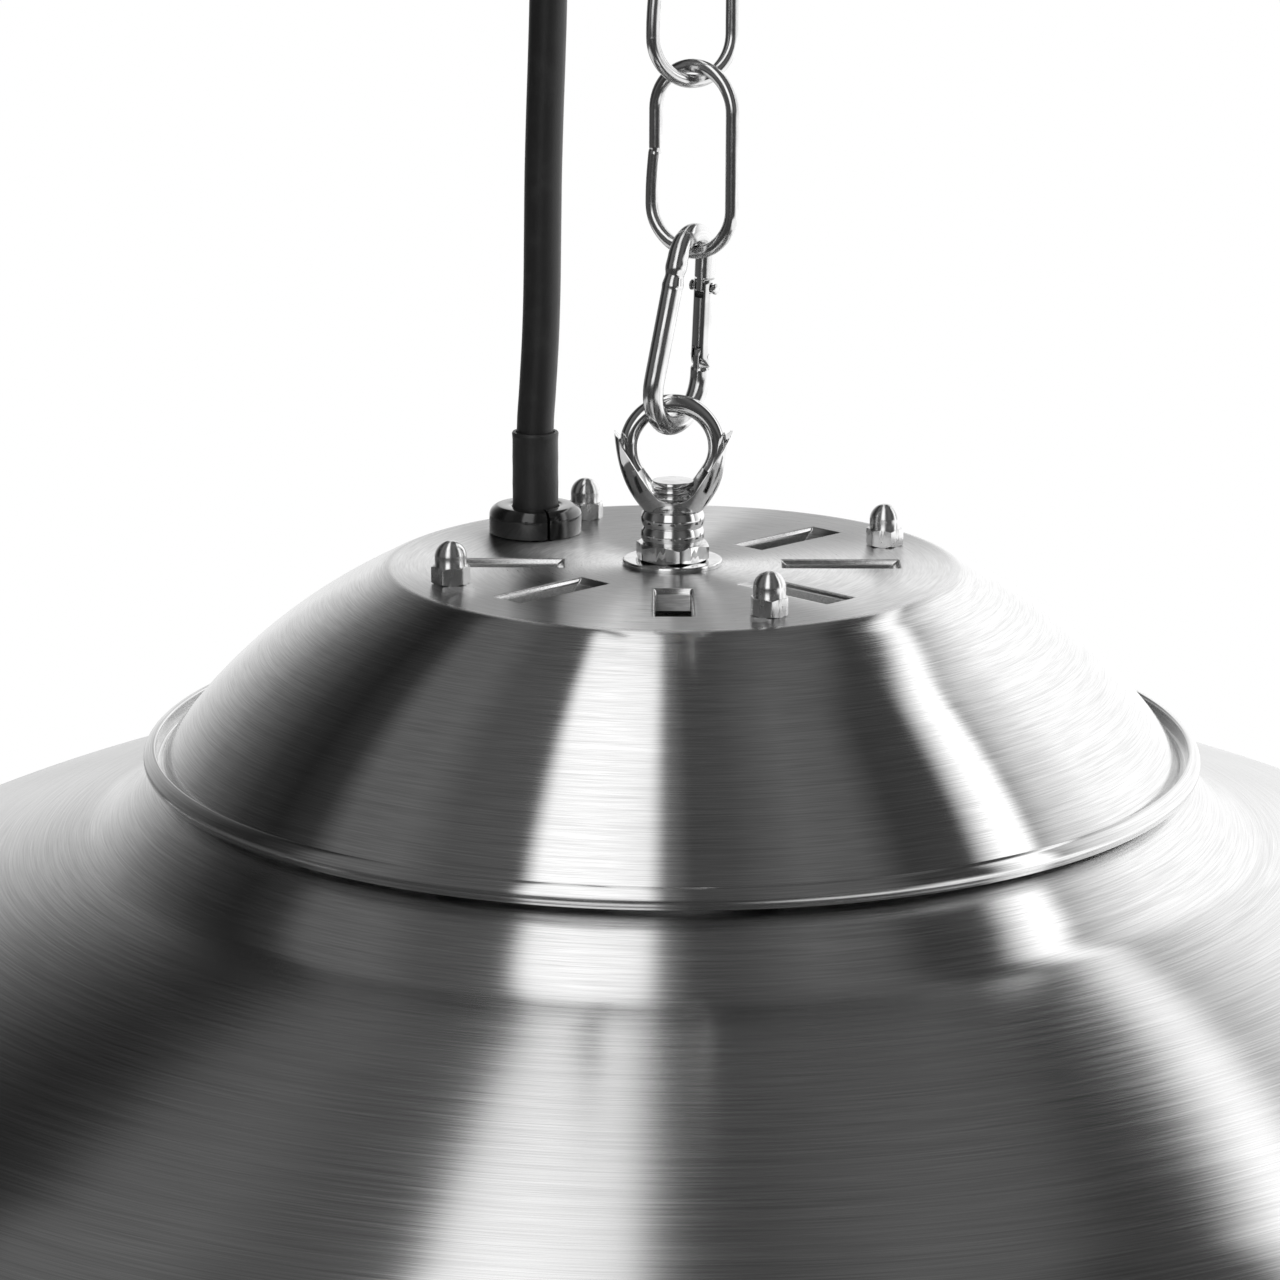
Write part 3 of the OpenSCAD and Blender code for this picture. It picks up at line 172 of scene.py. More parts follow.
def heaterPlace(net):
    # object coordinates, moved so that the heater's axis is the origin
    return net.add("ShaderNodeMapping", None, {"Vector": net.objectPlace(), "Location": (-axisX, 0, -capTop)})


def grey(level):
    return (level, level, level, 1)


# ---- finishes

# "around", "fine", "broad" and "cloud" are scales of noise; lip and slot are heights on the flat top, in metres
capLook = {"dark": grey(0.57), "light": grey(0.88), "dirtTone": grey(0.56), "dirt": 0.2, "dirtRough": 0.03,
           "around": 4.0, "fine": 3000, "grainMore": (2.5, 1.7), "broad": 620, "broadTurn": 0.35, "cloud": 26,
           "shares": (0.45, 0.45, 0.1), "rough": 0.125, "roughSpread": 0.06, "bump": 0.05, "depth": 0.0001,
           "anisotropic": 0.98, "rotation": 0.25, "flatR": 0.0667, "flatCoarser": 0.55, "flatRough": 0.17,
           "lip": (-0.0003, -0.0001), "lipRough": -0.19, "slot": (-0.0016, -0.001), "slotRough": 0.5}
zincLook = {"light": grey(0.78), "dark": grey(0.5), "grain": 900, "tarnish": 0.35, "pits": 0.15, "rough": 0.07,
            "roughSpread": 0.06, "bump": 0.025, "depth": 0.0002, "lines": 5.0, "lineLength": 90, "lineDepth": 0.00004}
plasticLook = {"grain": 1500, "rough": 0.4, "roughSpread": 0.1, "rubbed": 0.1, "bump": 0.15, "depth": 0.0002,
               "coat": 0.0, "coatRough": 0.12}


def spunSteel(name, **changes):
    # brushed round and round on the lathe: long streaks follow the turning
    look = dict(capLook, **changes)
    material, net = newFinish(name)
    place = heaterPlace(net)
    x, y, z = net.parts(place)
    radius = net.maths("SQRT", x * x + y * y) + 0.0001
    turnX = x / radius * look["around"]
    turnY = y / radius * look["around"]
    onTop = net.between(radius, look["flatR"] - mm, look["flatR"] + mm, 1.0, 0.0)
    lines = radius * look["fine"] * (1.0 - onTop * look["flatCoarser"])

    def streaks(turn, across, along, detail, roughness):
        return net.noise(net.joined(turnX * turn, turnY * turn, across), 1.0, detail, roughness, along)

    turnMore, fineMore = look["grainMore"]
    fine = streaks(1.0, lines, z * look["fine"], 2.0, 0.6)
    grain = streaks(turnMore, lines * fineMore, z * look["fine"] * fineMore, 1.0, 0.5)
    broad = streaks(look["broadTurn"], radius * look["broad"], z * look["broad"], 2.0, 0.5)
    fineShare, grainShare, broadShare = look["shares"]
    streak = (net.between(fine, 0.3, 0.7) * fineShare + net.between(grain, 0.3, 0.7) * grainShare
              + net.between(broad, 0.25, 0.75) * broadShare)
    dirt = net.between(net.noise(place, look["cloud"]), 0.35, 0.8)
    tone = net.mixColours(streak, look["dark"], look["light"])
    tone = net.mixColours(dirt * look["dirt"], tone, look["dirtTone"])
    # the slots' lips are rubbed bright, and their walls are dull
    onLip = onTop * net.between(z, *look["lip"], 1.0, 0.0)
    inSlot = onTop * net.between(z, *look["slot"], 1.0, 0.0)
    rough = (look["rough"] + (streak - 0.5) * look["roughSpread"] + dirt * look["dirtRough"]
             + onTop * look["flatRough"] + onLip * look["lipRough"] + inSlot * look["slotRough"])
    closeMetal(net, tone, rough, net.bump(look["bump"], look["depth"], fine + grain),
               {"Anisotropic": look["anisotropic"], "Anisotropic Rotation": look["rotation"]})
    return material


def drawnWire(name, **changes):
    # wire with fine draw lines along it: "along" and "round" are kept on the mesh by the wire tree
    look = dict(zincLook, **changes)
    material, net = newFinish(name)
    along = net.add("ShaderNodeAttribute", {"attribute_name": "along"}, output="Fac")
    turn = net.add("ShaderNodeAttribute", {"attribute_name": "round"}, output="Fac") * (2 * pi)
    lines = net.noise(net.joined(net.maths("COSINE", turn) * look["lines"], net.maths("SINE", turn) * look["lines"],
                                 along * look["lineLength"]), 1.0, 2.0, 0.6)
    smears = net.noise(net.objectPlace(), look["grain"] * 0.25)
    patch = net.between(smears, 0.4, 0.7)
    marks = net.between(lines, 0.35, 0.7)
    tone = net.mixColours(marks * look["tarnish"] + patch * 0.2, look["light"], look["dark"])
    rough = look["rough"] + marks * look["roughSpread"] + patch * 0.06
    closeMetal(net, tone, rough, net.bump(look["bump"], look["lineDepth"], lines + smears * 3.0))
    return material


def wireMetal(name, **changes):
    # plated metal: small dimples, faint smears, a little tarnish
    look = dict(zincLook, **changes)
    material, net = newFinish(name)
    place = net.objectPlace()
    dimples = net.noise(place, look["grain"], 3.0, 0.6)
    pits = net.add("ShaderNodeTexVoronoi", {"feature": "F1"}, {"Vector": place, "Scale": look["grain"] * 0.6})
    patch = net.between(net.noise(place, look["grain"] * 0.22), 0.38, 0.7)
    spots = net.between(pits, 0.0, 0.22, 1.0, 0.0)
    tone = net.mixColours(patch * look["tarnish"], look["light"], look["dark"])
    tone = net.mixColours(spots * look["pits"], tone, look["dark"])
    rough = look["rough"] + patch * look["roughSpread"] + spots * 0.12
    closeMetal(net, tone, rough, net.bump(look["bump"], look["depth"], dimples + patch * 0.4))
    return material


def mouldedPlastic(name, tone, rubbedTone, **changes):
    look = dict(plasticLook, **changes)
    material, net = newFinish(name)
    place = net.objectPlace()
    grain = net.noise(place, look["grain"], 2.0, 0.6)
    rubbed = net.between(net.noise(place, look["grain"] * 0.06, 3.0, 0.55), 0.45, 0.75)
    rough = look["rough"] + (grain - 0.5) * look["roughSpread"] + rubbed * look["rubbed"]
    closePrincipled(net, {"Base Color": net.mixColours(rubbed, tone, rubbedTone), "Roughness": rough,
                          "Normal": net.bump(look["bump"], look["depth"], grain),
                          "Coat Weight": look["coat"], "Coat Roughness": look["coatRough"]})
    return material


def lampGlass():
    material, net = newFinish("amber lamp glass")
    wave = net.noise(heaterPlace(net), 60)
    tone = net.mixColours(net.between(wave, 0.35, 0.7), (0.95, 0.78, 0.5, 1), (0.9, 0.66, 0.34, 1))
    closePrincipled(net, {"Base Color": tone, "Roughness": 0.06 + wave * 0.06, "Alpha": 0.45, "Coat Weight": 0.5})
    return material


finishes = {
    "cap": spunSteel("cap brushed stainless"),
    "shade": spunSteel("shade brushed stainless", light=grey(0.86), fine=2700, broad=500, cloud=14, rough=0.19,
                       flatR=0.001),
    "reflector": spunSteel("reflector bright aluminium", dark=grey(0.7), light=grey(0.86), fine=1200, rough=0.2,
                           anisotropic=0.6, flatR=0.001),
    "zincWire": wireMetal("bright zinc"),
    "chainWire": drawnWire("drawn zinc wire", rough=0.12, bump=0.4),
    "nutZinc": wireMetal("zinc nuts", grain=1500, rough=0.1, bump=0.05),
    "domeZinc": wireMetal("polished dome", rough=0.19, tarnish=0.2, bump=0.02),
    "plainZinc": wireMetal("zinc sheet", rough=0.3, grain=500, tarnish=0.8),
    "rose": wireMetal("rose steel", rough=0.28, grain=260, bump=0.08),
    "guard": drawnWire("guard chrome", light=grey(0.82), grain=400, tarnish=0.2, bump=0.2),
    "brass": wireMetal("brass", light=(0.78, 0.56, 0.24, 1), dark=(0.42, 0.28, 0.1, 1), rough=0.25),
    # near-black metal that paints shade into the bottom of the gate's slot
    "slotShade": wireMetal("painted slot shade", light=grey(0.05), dark=grey(0.02), rough=0.5),
    "spring": wireMetal("spring steel", light=grey(0.5), dark=grey(0.25), rough=0.3),
    "filament": wireMetal("filament", light=(0.4, 0.34, 0.3, 1), dark=(0.2, 0.17, 0.15, 1), rough=0.4),
    "rubber": mouldedPlastic("cable sheath", grey(0.022), grey(0.034), grain=2600, rough=0.42, roughSpread=0.12,
                             rubbed=0.08, bump=0.25),
    "sleeve": mouldedPlastic("shrunk sleeve", grey(0.03), grey(0.045), grain=1800, bump=0.3),
    "grip": mouldedPlastic("gloss grip", grey(0.008), grey(0.014), grain=900, rough=0.09, roughSpread=0.04,
                           rubbed=0.06, bump=0.06, coat=0.8),
    "blackPlastic": mouldedPlastic("black plastic", grey(0.02), grey(0.035), grain=1200, bump=0.2),
    "ceramic": mouldedPlastic("ivory ceramic", (0.72, 0.68, 0.58, 1), (0.6, 0.55, 0.46, 1), rough=0.45, bump=0.3),
    "brownWire": mouldedPlastic("brown insulation", (0.13, 0.05, 0.02, 1), (0.17, 0.07, 0.03, 1)),
    "blueWire": mouldedPlastic("blue insulation", (0.02, 0.08, 0.32, 1), (0.03, 0.12, 0.4, 1)),
    "earthWire": mouldedPlastic("green insulation", (0.05, 0.3, 0.05, 1), (0.5, 0.42, 0.03, 1)),
    "glass": lampGlass(),
}
print("finishes made:", len(finishes))


# ---- geometry trees

def newTree(name, inputs):
    tree = bpy.data.node_groups.new(name, "GeometryNodeTree")
    tree.interface.new_socket(name="Geometry", in_out="OUTPUT", socket_type="NodeSocketGeometry")
    tree.interface.new_socket(name="Geometry", in_out="INPUT", socket_type="NodeSocketGeometry")
    for label, kind, value in inputs:
        socket = tree.interface.new_socket(name=label, in_out="INPUT", socket_type="NodeSocket" + kind)
        if value is not None:
            socket.default_value = value
    net = Net(tree)
    given = tree.nodes.new("NodeGroupInput")
    return tree, net, {socket.name: Signal(net, socket) for socket in given.outputs if socket.name}


def closeTree(net, geometry, finish):
    real = net.add("GeometryNodeRealizeInstances", None, {"Geometry": geometry})
    done = net.add("GeometryNodeSetMaterial", None, {"Geometry": real, "Material": finish})
    output = net.tree.nodes.new("NodeGroupOutput")
    net.feed(output.inputs["Geometry"], done)


def turnedTree():
    # an outline of (radius, 0, height) points, turned about the upright axis through Axis
    tree, net, given = newTree("turned piece", [
        ("Turns", "Int", 96), ("Closed", "Int", 1), ("Axis", "Vector", (0, 0, 0)), ("Finish", "Material", None)])
    count = net.add("GeometryNodeAttributeDomainSize", {"component": "MESH"}, {"Geometry": given["Geometry"]})
    rowLength = given["Turns"] + 1
    grid = net.add("GeometryNodeMeshGrid", None, {
        "Size X": 1.0, "Size Y": 1.0, "Vertices X": count + given["Closed"], "Vertices Y": rowLength})
    index = net.add("GeometryNodeInputIndex")
    column = net.maths("FLOOR", (index + 0.5) / rowLength)
    row = index - column * rowLength
    wrapped = column - count * net.maths("FLOOR", (column + 0.5) / count)
    position = net.add("GeometryNodeInputPosition")
    sample = net.add("GeometryNodeSampleIndex", {"data_type": "FLOAT_VECTOR", "domain": "POINT"}, {
        "Geometry": given["Geometry"], "Value": position, "Index": wrapped + 0.1})
    radius, unused, height = net.parts(sample)
    angle = row / given["Turns"] * (2 * pi)
    spot = net.joined(radius * net.maths("COSINE", angle), radius * net.maths("SINE", angle), height)
    moved = net.add("ShaderNodeVectorMath", {"operation": "ADD"}, {0: spot, 1: given["Axis"]})
    placed = net.add("GeometryNodeSetPosition", None, {"Geometry": grid, "Position": moved})
    merged = net.add("GeometryNodeMergeByDistance", None, {"Geometry": placed, "Distance": 1e-6})
    smooth = net.add("GeometryNodeSetShadeSmooth", None, {"Geometry": merged})
    closeTree(net, smooth, given["Finish"])
    return tree


def wireTree():
    # polylines with a "swell" share at each point, followed by a round wire
    tree, net, given = newTree("bent wire", [
        ("Radius", "Float", 0.001), ("Sides", "Int", 16), ("Finish", "Material", None)])
    curve = net.add("GeometryNodeMeshToCurve", None, {"Mesh": given["Geometry"]})
    swell = net.add("GeometryNodeInputNamedAttribute", {"data_type": "FLOAT"}, {"Name": "swell"})
    path = net.add("GeometryNodeStoreNamedAttribute", {"data_type": "FLOAT", "domain": "POINT"}, {
        "Geometry": curve, "Name": "along", "Value": net.add("GeometryNodeSplineParameter", output="Length")})
    profile = net.add("GeometryNodeCurvePrimitiveCircle", None, {
        "Resolution": given["Sides"], "Radius": given["Radius"]})
    profile = net.add("GeometryNodeStoreNamedAttribute", {"data_type": "FLOAT", "domain": "POINT"}, {
        "Geometry": profile, "Name": "round", "Value": net.add("GeometryNodeSplineParameter", output="Factor")})
    swept = net.add("GeometryNodeCurveToMesh", None, {
        "Curve": path, "Profile Curve": profile, "Scale": swell, "Fill Caps": True})
    smooth = net.add("GeometryNodeSetShadeSmooth", None, {"Geometry": swept})
    closeTree(net, smooth, given["Finish"])
    return tree


def copiesTree():
    # one item put at every point, turned by the point's "turn" angles
    tree, net, given = newTree("placed copies", [("Item", "Object", None), ("Finish", "Material", None)])
    item = net.add("GeometryNodeObjectInfo", {"transform_space": "ORIGINAL"}, {"Object": given["Item"]}, "Geometry")
    turn = net.add("GeometryNodeInputNamedAttribute", {"data_type": "FLOAT_VECTOR"}, {"Name": "turn"})
    placed = net.add("GeometryNodeInstanceOnPoints", None, {
        "Points": given["Geometry"], "Instance": item,
        "Rotation": net.add("FunctionNodeEulerToRotation", None, {0: turn})})
    closeTree(net, placed, given["Finish"])
    return tree


trees = {"turned": turnedTree(), "wire": wireTree(), "copies": copiesTree()}


# ---- making pieces

def bareMesh(name, points, edges=(), faces=()):
    mesh = bpy.data.meshes.new(name)
    mesh.from_pydata([Vector(p) for p in points], list(edges), list(faces))
    return mesh


def newObject(name, mesh):
    thing = bpy.data.objects.new(name, mesh)
    bpy.context.scene.collection.objects.link(thing)
    return thing


def throughTree(mesh, treeName, inputs):
    # runs one tree on a mesh and gives back the plain mesh that it makes
    thing = newObject("source", mesh)
    modifier = thing.modifiers.new("tree", "NODES")
    modifier.node_group = trees[treeName]
    for socket in trees[treeName].interface.items_tree:
        if socket.in_out == "INPUT" and socket.name in inputs:
            modifier[socket.identifier] = inputs[socket.name]
    depsgraph = bpy.context.evaluated_depsgraph_get()
    result = bpy.data.meshes.new_from_object(thing.evaluated_get(depsgraph), depsgraph=depsgraph)
    thing.modifiers.remove(modifier)
    bpy.data.objects.remove(thing)
    return result


def turned(outline, turns, finish, closed=True, axis=None):
    points = [(r * mm, 0, z * mm) for r, z in outline]
    return throughTree(bareMesh("outline", points), "turned", {
        "Turns": turns, "Closed": int(closed), "Axis": tuple(axis or heaterFrame.translation),
        "Finish": finishes[finish]})


def withAttribute(mesh, name, kind, field, values):
    mesh.attributes.new(name, kind, "POINT").data.foreach_set(field, values)
    return mesh


def bentWire(path, radius, sides, finish, closed=False):
    # path: (point in metres, swell) pairs
    count = len(path)
    edges = [(i, (i + 1) % count) for i in range(count if closed else count - 1)]
    mesh = withAttribute(bareMesh("path", [p for p, swell in path], edges), "swell", "FLOAT", "value",
                         [swell for p, swell in path])
    return throughTree(mesh, "wire", {"Radius": radius * mm, "Sides": sides, "Finish": finishes[finish]})


def placedCopies(itemMesh, places, finish):
    # places: (point in metres, (turn x, y, z) in radians)
    item = newObject("item", itemMesh)
    mesh = withAttribute(bareMesh("places", [p for p, turn in places]), "turn", "FLOAT_VECTOR", "vector",
                         [a for p, turn in places for a in turn])
    result = throughTree(mesh, "copies", {"Item": item, "Finish": finishes[finish]})
    bpy.data.objects.remove(item)
    return result


def joinMeshes(name, meshes, finish, sharpAngle, weld):
    work = bmesh.new()
    for mesh in meshes:
        work.from_mesh(mesh)
    if weld:
        bmesh.ops.remove_doubles(work, verts=work.verts, dist=weld)
    bmesh.ops.recalc_face_normals(work, faces=work.faces)
    for face in work.faces:
        face.smooth = True
        face.material_index = 0
    result = bpy.data.meshes.new(name)
    work.to_mesh(result)
    work.free()
    for extra in ("swell", "turn"):
        if extra in result.attributes:
            result.attributes.remove(result.attributes[extra])
    result.materials.clear()
    result.materials.append(finishes[finish])
    result.set_sharp_from_angle(angle=radians(sharpAngle))
    return result


def settle(name, meshes, finish, sharpAngle, body, slotName, *nodes, weld=None):
    # joins the meshes into one piece that rides on a body and stands for the nodes
    piece = newObject(name, joinMeshes(name, meshes, finish, sharpAngle, weld))
    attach(piece, body)
    if nodes:
        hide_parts(*nodes)
    return piece


def inHeater(x, y, z):
    return Vector((axisX + x * mm, y * mm, capTop + z * mm))


def heaterMesh(name, points, faces):
    return bareMesh(name, [inHeater(*p) for p in points], (), faces)


def bezier(steps, *controls):
    order = len(controls) - 1
    line = []
    for i in range(steps + 1):
        t = i / steps
        line.append(tuple(sum((Vector(p) * (comb(order, k) * t ** k * (1 - t) ** (order - k))
                               for k, p in enumerate(controls)), Vector((0, 0)))))
    return line


def arc(centre, r, start, stop, steps):
    angles = [radians(start + (stop - start) * i / steps) for i in range(steps + 1)]
    return [(centre[0] + r * cos(a), centre[1] + r * sin(a)) for a in angles]


def circle(r, count, shift=0.0):
    angles = [2 * pi * (i + shift) / count for i in range(count)]
    return [(r * cos(a), r * sin(a)) for a in angles]


def offsetLine(line, distance):
    # the line moved sideways, to the right of its direction
    moved = []
    for i, p in enumerate(line):
        before, after = Vector(line[max(i - 1, 0)]), Vector(line[min(i + 1, len(line) - 1)])
        along = (after - before).normalized()
        moved.append((p[0] + along.y * distance, p[1] - along.x * distance))
    return moved


def turnedColumn(column, angle, x=0.0, y=0.0):
    return [(x + r * cos(angle), y + r * sin(angle), z) for r, z in column]


def columnFaces(count, size, around=True, section=True):
    # quads between neighbouring columns of size points each; both ways can be closed
    faces = []
    for i in range(count if around else count - 1):
        for k in range(size if section else size - 1):
            j, n = (i + 1) % count, (k + 1) % size
            faces.append((i * size + k, j * size + k, j * size + n, i * size + n))
    return faces


# ---- power cable: one taut run from the cap up into the ceiling gland

cableSetup = {"diameter": 0.009, "finer": 4, "points": [
    (-0.0376, 0.034, -0.2605), (-0.0376, 0.034, -0.24), (-0.0376, 0.034, -0.222), (-0.037, 0.034, -0.212),
    (-0.0363, 0.0341, -0.2), (-0.0359, 0.0342, -0.188), (-0.0357, 0.0341, -0.174), (-0.0355, 0.0339, -0.16),
    (-0.0351, 0.0338, -0.146), (-0.0346, 0.0338, -0.132), (-0.0342, 0.0339, -0.118), (-0.0341, 0.034, -0.104),
    (-0.0343, 0.0341, -0.09), (-0.0346, 0.0341, -0.078), (-0.0349, 0.034, -0.066), (-0.035, 0.034, -0.054)]}


def smoothRoute(points, finer):
    points = [Vector(p) for p in points]
    route = []
    for i in range(len(points) - 1):
        a, b, c, d = points[max(i - 1, 0)], points[i], points[i + 1], points[min(i + 2, len(points) - 1)]
        for k in range(finer):
            t = k / finer
            route.append(0.5 * (2 * b + (c - a) * t + (2 * a - 5 * b + 4 * c - d) * t * t
                                + (3 * b - a - 3 * c + d) * t ** 3))
    return route + [points[-1]]


cableRoute = smoothRoute(cableSetup["points"], cableSetup["finer"])
cableCurve = bpy.data.curves.new("powerCable", "CURVE")
cableCurve.dimensions = "3D"
spline = cableCurve.splines.new("POLY")
spline.points.add(len(cableRoute) - 1)
for spot, p in zip(spline.points, cableRoute):
    spot.co = (*p, 1)
cableCurve.bevel_depth = cableSetup["diameter"] / 2
cableCurve.bevel_resolution = 9
cableCurve.use_fill_caps = True
cableCurve.materials.append(finishes["rubber"])
powerCable = newObject("powerCable", cableCurve)
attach(powerCable, "heater")
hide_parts("power_cable")


# ---- cap: flat top with pressed slots, crowned side, curled rim

capSetup = {"flatR": 65.4, "bendR": (65.8, 66.2), "edgeR": 68.0, "edgeZ": -0.5, "sideR": 129.0, "sheet": 1.0,
            "turns": 256, "foot": (120.3, -43.7), "stemR": 5.2, "rodR": 55.5, "rodHole": 2.7, "rodTurn": 22.5,
            "grip": (-33.2, 34.0), "gripHole": 8.05, "weld": 4e-6,
            "trough": ((120.55, -44.3), (120.95, -45.25), (121.5, -45.15)),
            "curlUp": ((121.85, -44.9), (122.1, -44.3), (122.15, -42.4)), "crest": ((122.6, -41.75), 0.5, 190, 60),
            "curlOver": ((123.3, -41.4), (124.4, -41.9), (125.0, -42.8), (125.0, -43.9)),
            "curlDown": ((125.0, -44.3), (124.95, -45.4), (124.0, -46.3), (122.6, -46.3)),
            "curlIn": ((121.9, -46.3), (120.2, -46.2), (119.55, -45.0))}
slotSetup = {"start": 25.8, "length": 27.7, "width": 8.3, "depth": 4.4, "bend": 0.9, "wall": 0.8, "corner": 0.5,
             "backCorner": 0.9, "border": 0.3, "slope": 1.2, "pinch": 0.12, "back": 1.13,
             "turns": (0, 45, 90, 180, 225, 270, 315)}


def capSidePoints(steps):
    s = capSetup
    edge = Vector((s["edgeR"], s["edgeZ"]))
    chord = Vector(s["foot"]) - edge
    half = degrees(asin(chord.length / 2 / s["sideR"]))
    start = 90 - degrees(atan2(-chord.y, chord.x)) + half
    centre = edge - s["sideR"] * Vector((cos(radians(start)), sin(radians(start))))
    return arc(centre, s["sideR"], start, start - 2 * half, steps)


def capOutline():
    s = capSetup
    side = capSidePoints(56)
    flat = [(s["flatR"], 0), (s["bendR"][0], 0)]
    outer = flat + bezier(8, (s["bendR"][1], 0), (s["edgeR"], 0), side[4]) + side[5:]
    inner = offsetLine(outer, s["sheet"])
    inner[:2] = [(r, -s["sheet"]) for r, z in flat]
    rim = bezier(4, *s["trough"]) + bezier(4, *s["curlUp"]) + arc(*s["crest"], 6)
    rim += bezier(7, *s["curlOver"]) + bezier(7, *s["curlDown"]) + bezier(4, *s["curlIn"])
    return outer + rim + inner[::-1]


def slotLoop(turn, halfWidth, start, stop, z, corner=slotSetup["corner"]):
    loop = []
    for cu, cv, first in ((stop - corner, halfWidth - corner, 0), (start + corner, halfWidth - corner, 90),
                          (start + corner, corner - halfWidth, 180), (stop - corner, corner - halfWidth, 270)):
        loop += arc((cu, cv), corner, first, first + 90, 4)
    c, s = cos(radians(turn)), sin(radians(turn))
    return [(u * c - v * s, u * s + v * c, z) for u, v in loop]


def circleLoop(x, y, r, count, z):
    return [(x + u, y + v, z) for u, v in circle(r, count)]


def insideLoop(loop, x, y):
    within = False
    for (ax, ay, az), (bx, by, bz) in zip(loop, loop[1:] + loop[:1]):
        if (ay > y) != (by > y) and x < (bx - ax) * (y - ay) / (by - ay) + ax:
            within = not within
    return within


def sheetFaces(outer, holes, z):
    # flat sheet between the outer loop and its holes
    points, edges = [], []
    for loop in [outer] + holes:
        first = len(points)
        points += [Vector(p[:2]) for p in loop]
        edges += [(first + i, first + (i + 1) % len(loop)) for i in range(len(loop))]
    flat, unused, triangles, *rest = delaunay_2d_cdt(points, edges, [], 1, 1e-5)
    kept = []
    for triangle in triangles:
        x, y = [sum(flat[i][axis] for i in triangle) / 3 for axis in (0, 1)]
        if insideLoop(outer, x, y) and not any(insideLoop(hole, x, y) for hole in holes):
            kept.append(tuple(triangle))
    return [(p[0], p[1], z) for p in flat], kept


def loftLoops(loops):
    size = len(loops[0])
    faces = []
    for level in range(len(loops) - 1):
        for i in range(size):
            j = (i + 1) % size
            faces.append((level * size + i, level * size + j, (level + 1) * size + j, (level + 1) * size + i))
    return [p for loop in loops for p in loop], faces


def slotLevels(turn):
    # the loops of one slot, from its flat border down inside, round the lip and up outside
    s = slotSetup
    half, start, stop = s["width"] / 2, s["start"], s["start"] + s["length"]
    bend, border, wall = s["bend"], s["border"], s["wall"] * capSetup["sheet"]
    levels = [slotLoop(turn, half + bend + border, start - 2 * border, stop + 2 * border, 0)]
    for k in range(7):
        a = radians(90 * k / 6)
        fall = bend * (1 - cos(a))
        run = fall * s["slope"] - border
        levels.append(slotLoop(turn, half + bend * (1 - sin(a)), start + run, stop - run, -fall))
    for side, back, corner, shares in ((0.0, 0.0, s["corner"], (0.5, 0.97, 1.0)),
                                       (wall, s["back"], s["backCorner"], (1.0, 0.97, 0.3))):
        for share in shares:
            z = bend + (s["depth"] - bend) * share
            pinch = s["pinch"] if share == 1.0 else 0.0
            inward = -pinch if side else pinch
            run = z - back - inward
            levels.append(slotLoop(turn, half + side + inward, start + run, stop - run, -z, corner))
    for wider, longer in ((0.3, 0.5), (0.8, 1.0)):
        levels.append(slotLoop(turn, half + wall + wider, start - longer, stop + longer, -capSetup["sheet"],
                               s["backCorner"]))
    return levels


def roundHoles():
    s = capSetup
    rods = [turnedColumn([(s["rodR"], 0)], radians(s["rodTurn"] + 90 * i))[0] for i in range(4)]
    return [(0.0, 0.0, s["stemR"], 48)] + [(x, y, s["rodHole"], 32) for x, y, z in rods] + [
        (*s["grip"], s["gripHole"], 64)]


def capMeshes():
    sheet, turns = capSetup["sheet"], capSetup["turns"]
    slots = [slotLevels(turn) for turn in slotSetup["turns"]]
    meshes = [turned(capOutline(), turns, "cap", closed=False)]
    meshes += [heaterMesh("slot", *loftLoops(levels)) for levels in slots]
    for z, slotLevel in ((0.0, 0), (-sheet, -1)):
        holes = [levels[slotLevel] for levels in slots] + [circleLoop(*hole, z) for hole in roundHoles()]
        meshes.append(heaterMesh("flat", *sheetFaces(circleLoop(0, 0, capSetup["flatR"], turns, z), holes, z)))
    for hole in roundHoles():
        meshes.append(heaterMesh("hole", *loftLoops([circleLoop(*hole, 0), circleLoop(*hole, -sheet)])))
    return meshes


topCap = settle("topCap", capMeshes(), "cap", 40, "heater", "stainless", "top_cap", weld=capSetup["weld"])
print("cap made,", len(topCap.data.polygons), "faces")


# ---- shade and reflector

shadeSetup = {"crownR": 116.0, "crownZ": -46.8, "crownRun": 30.0, "holeR": 20.0, "neck": (8.88, 13.92, 10.08, 0.2),
              "roofStart": (140.0, -62.1), "roofEnd": (216.18, -89.66), "startSlope": 12.2, "endSlope": 26.9,
              "shoulderR": 30.0, "lean": 10.0, "skirt": 36.0, "beadR": 2.5, "sheet": 1.0, "turns": 320, "weld": 2e-6}
reflectorSetup = {"z": -58.8, "innerR": 60.0, "flatR": 95.0, "sheet": 0.8, "gap": 9.0, "shoulderR": 20.0,
                  "skirt": 10.0, "turns": 256, "weld": 2e-6}
startFall = tan(radians(shadeSetup["startSlope"]))
leanRun = tan(radians(shadeSetup["lean"]))


def shoulderPoints(end, r, slope, steps):
    a = radians(slope)
    return arc((end[0] - r * sin(a), end[1] - r * cos(a)), r, 90 - slope, shadeSetup["lean"], steps)


def roofPoints(start, end, steps):
    middle = ((start[0] + end[0]) / 2, start[1] - startFall * (end[0] - start[0]) / 2)
    return bezier(steps, start, middle, end)


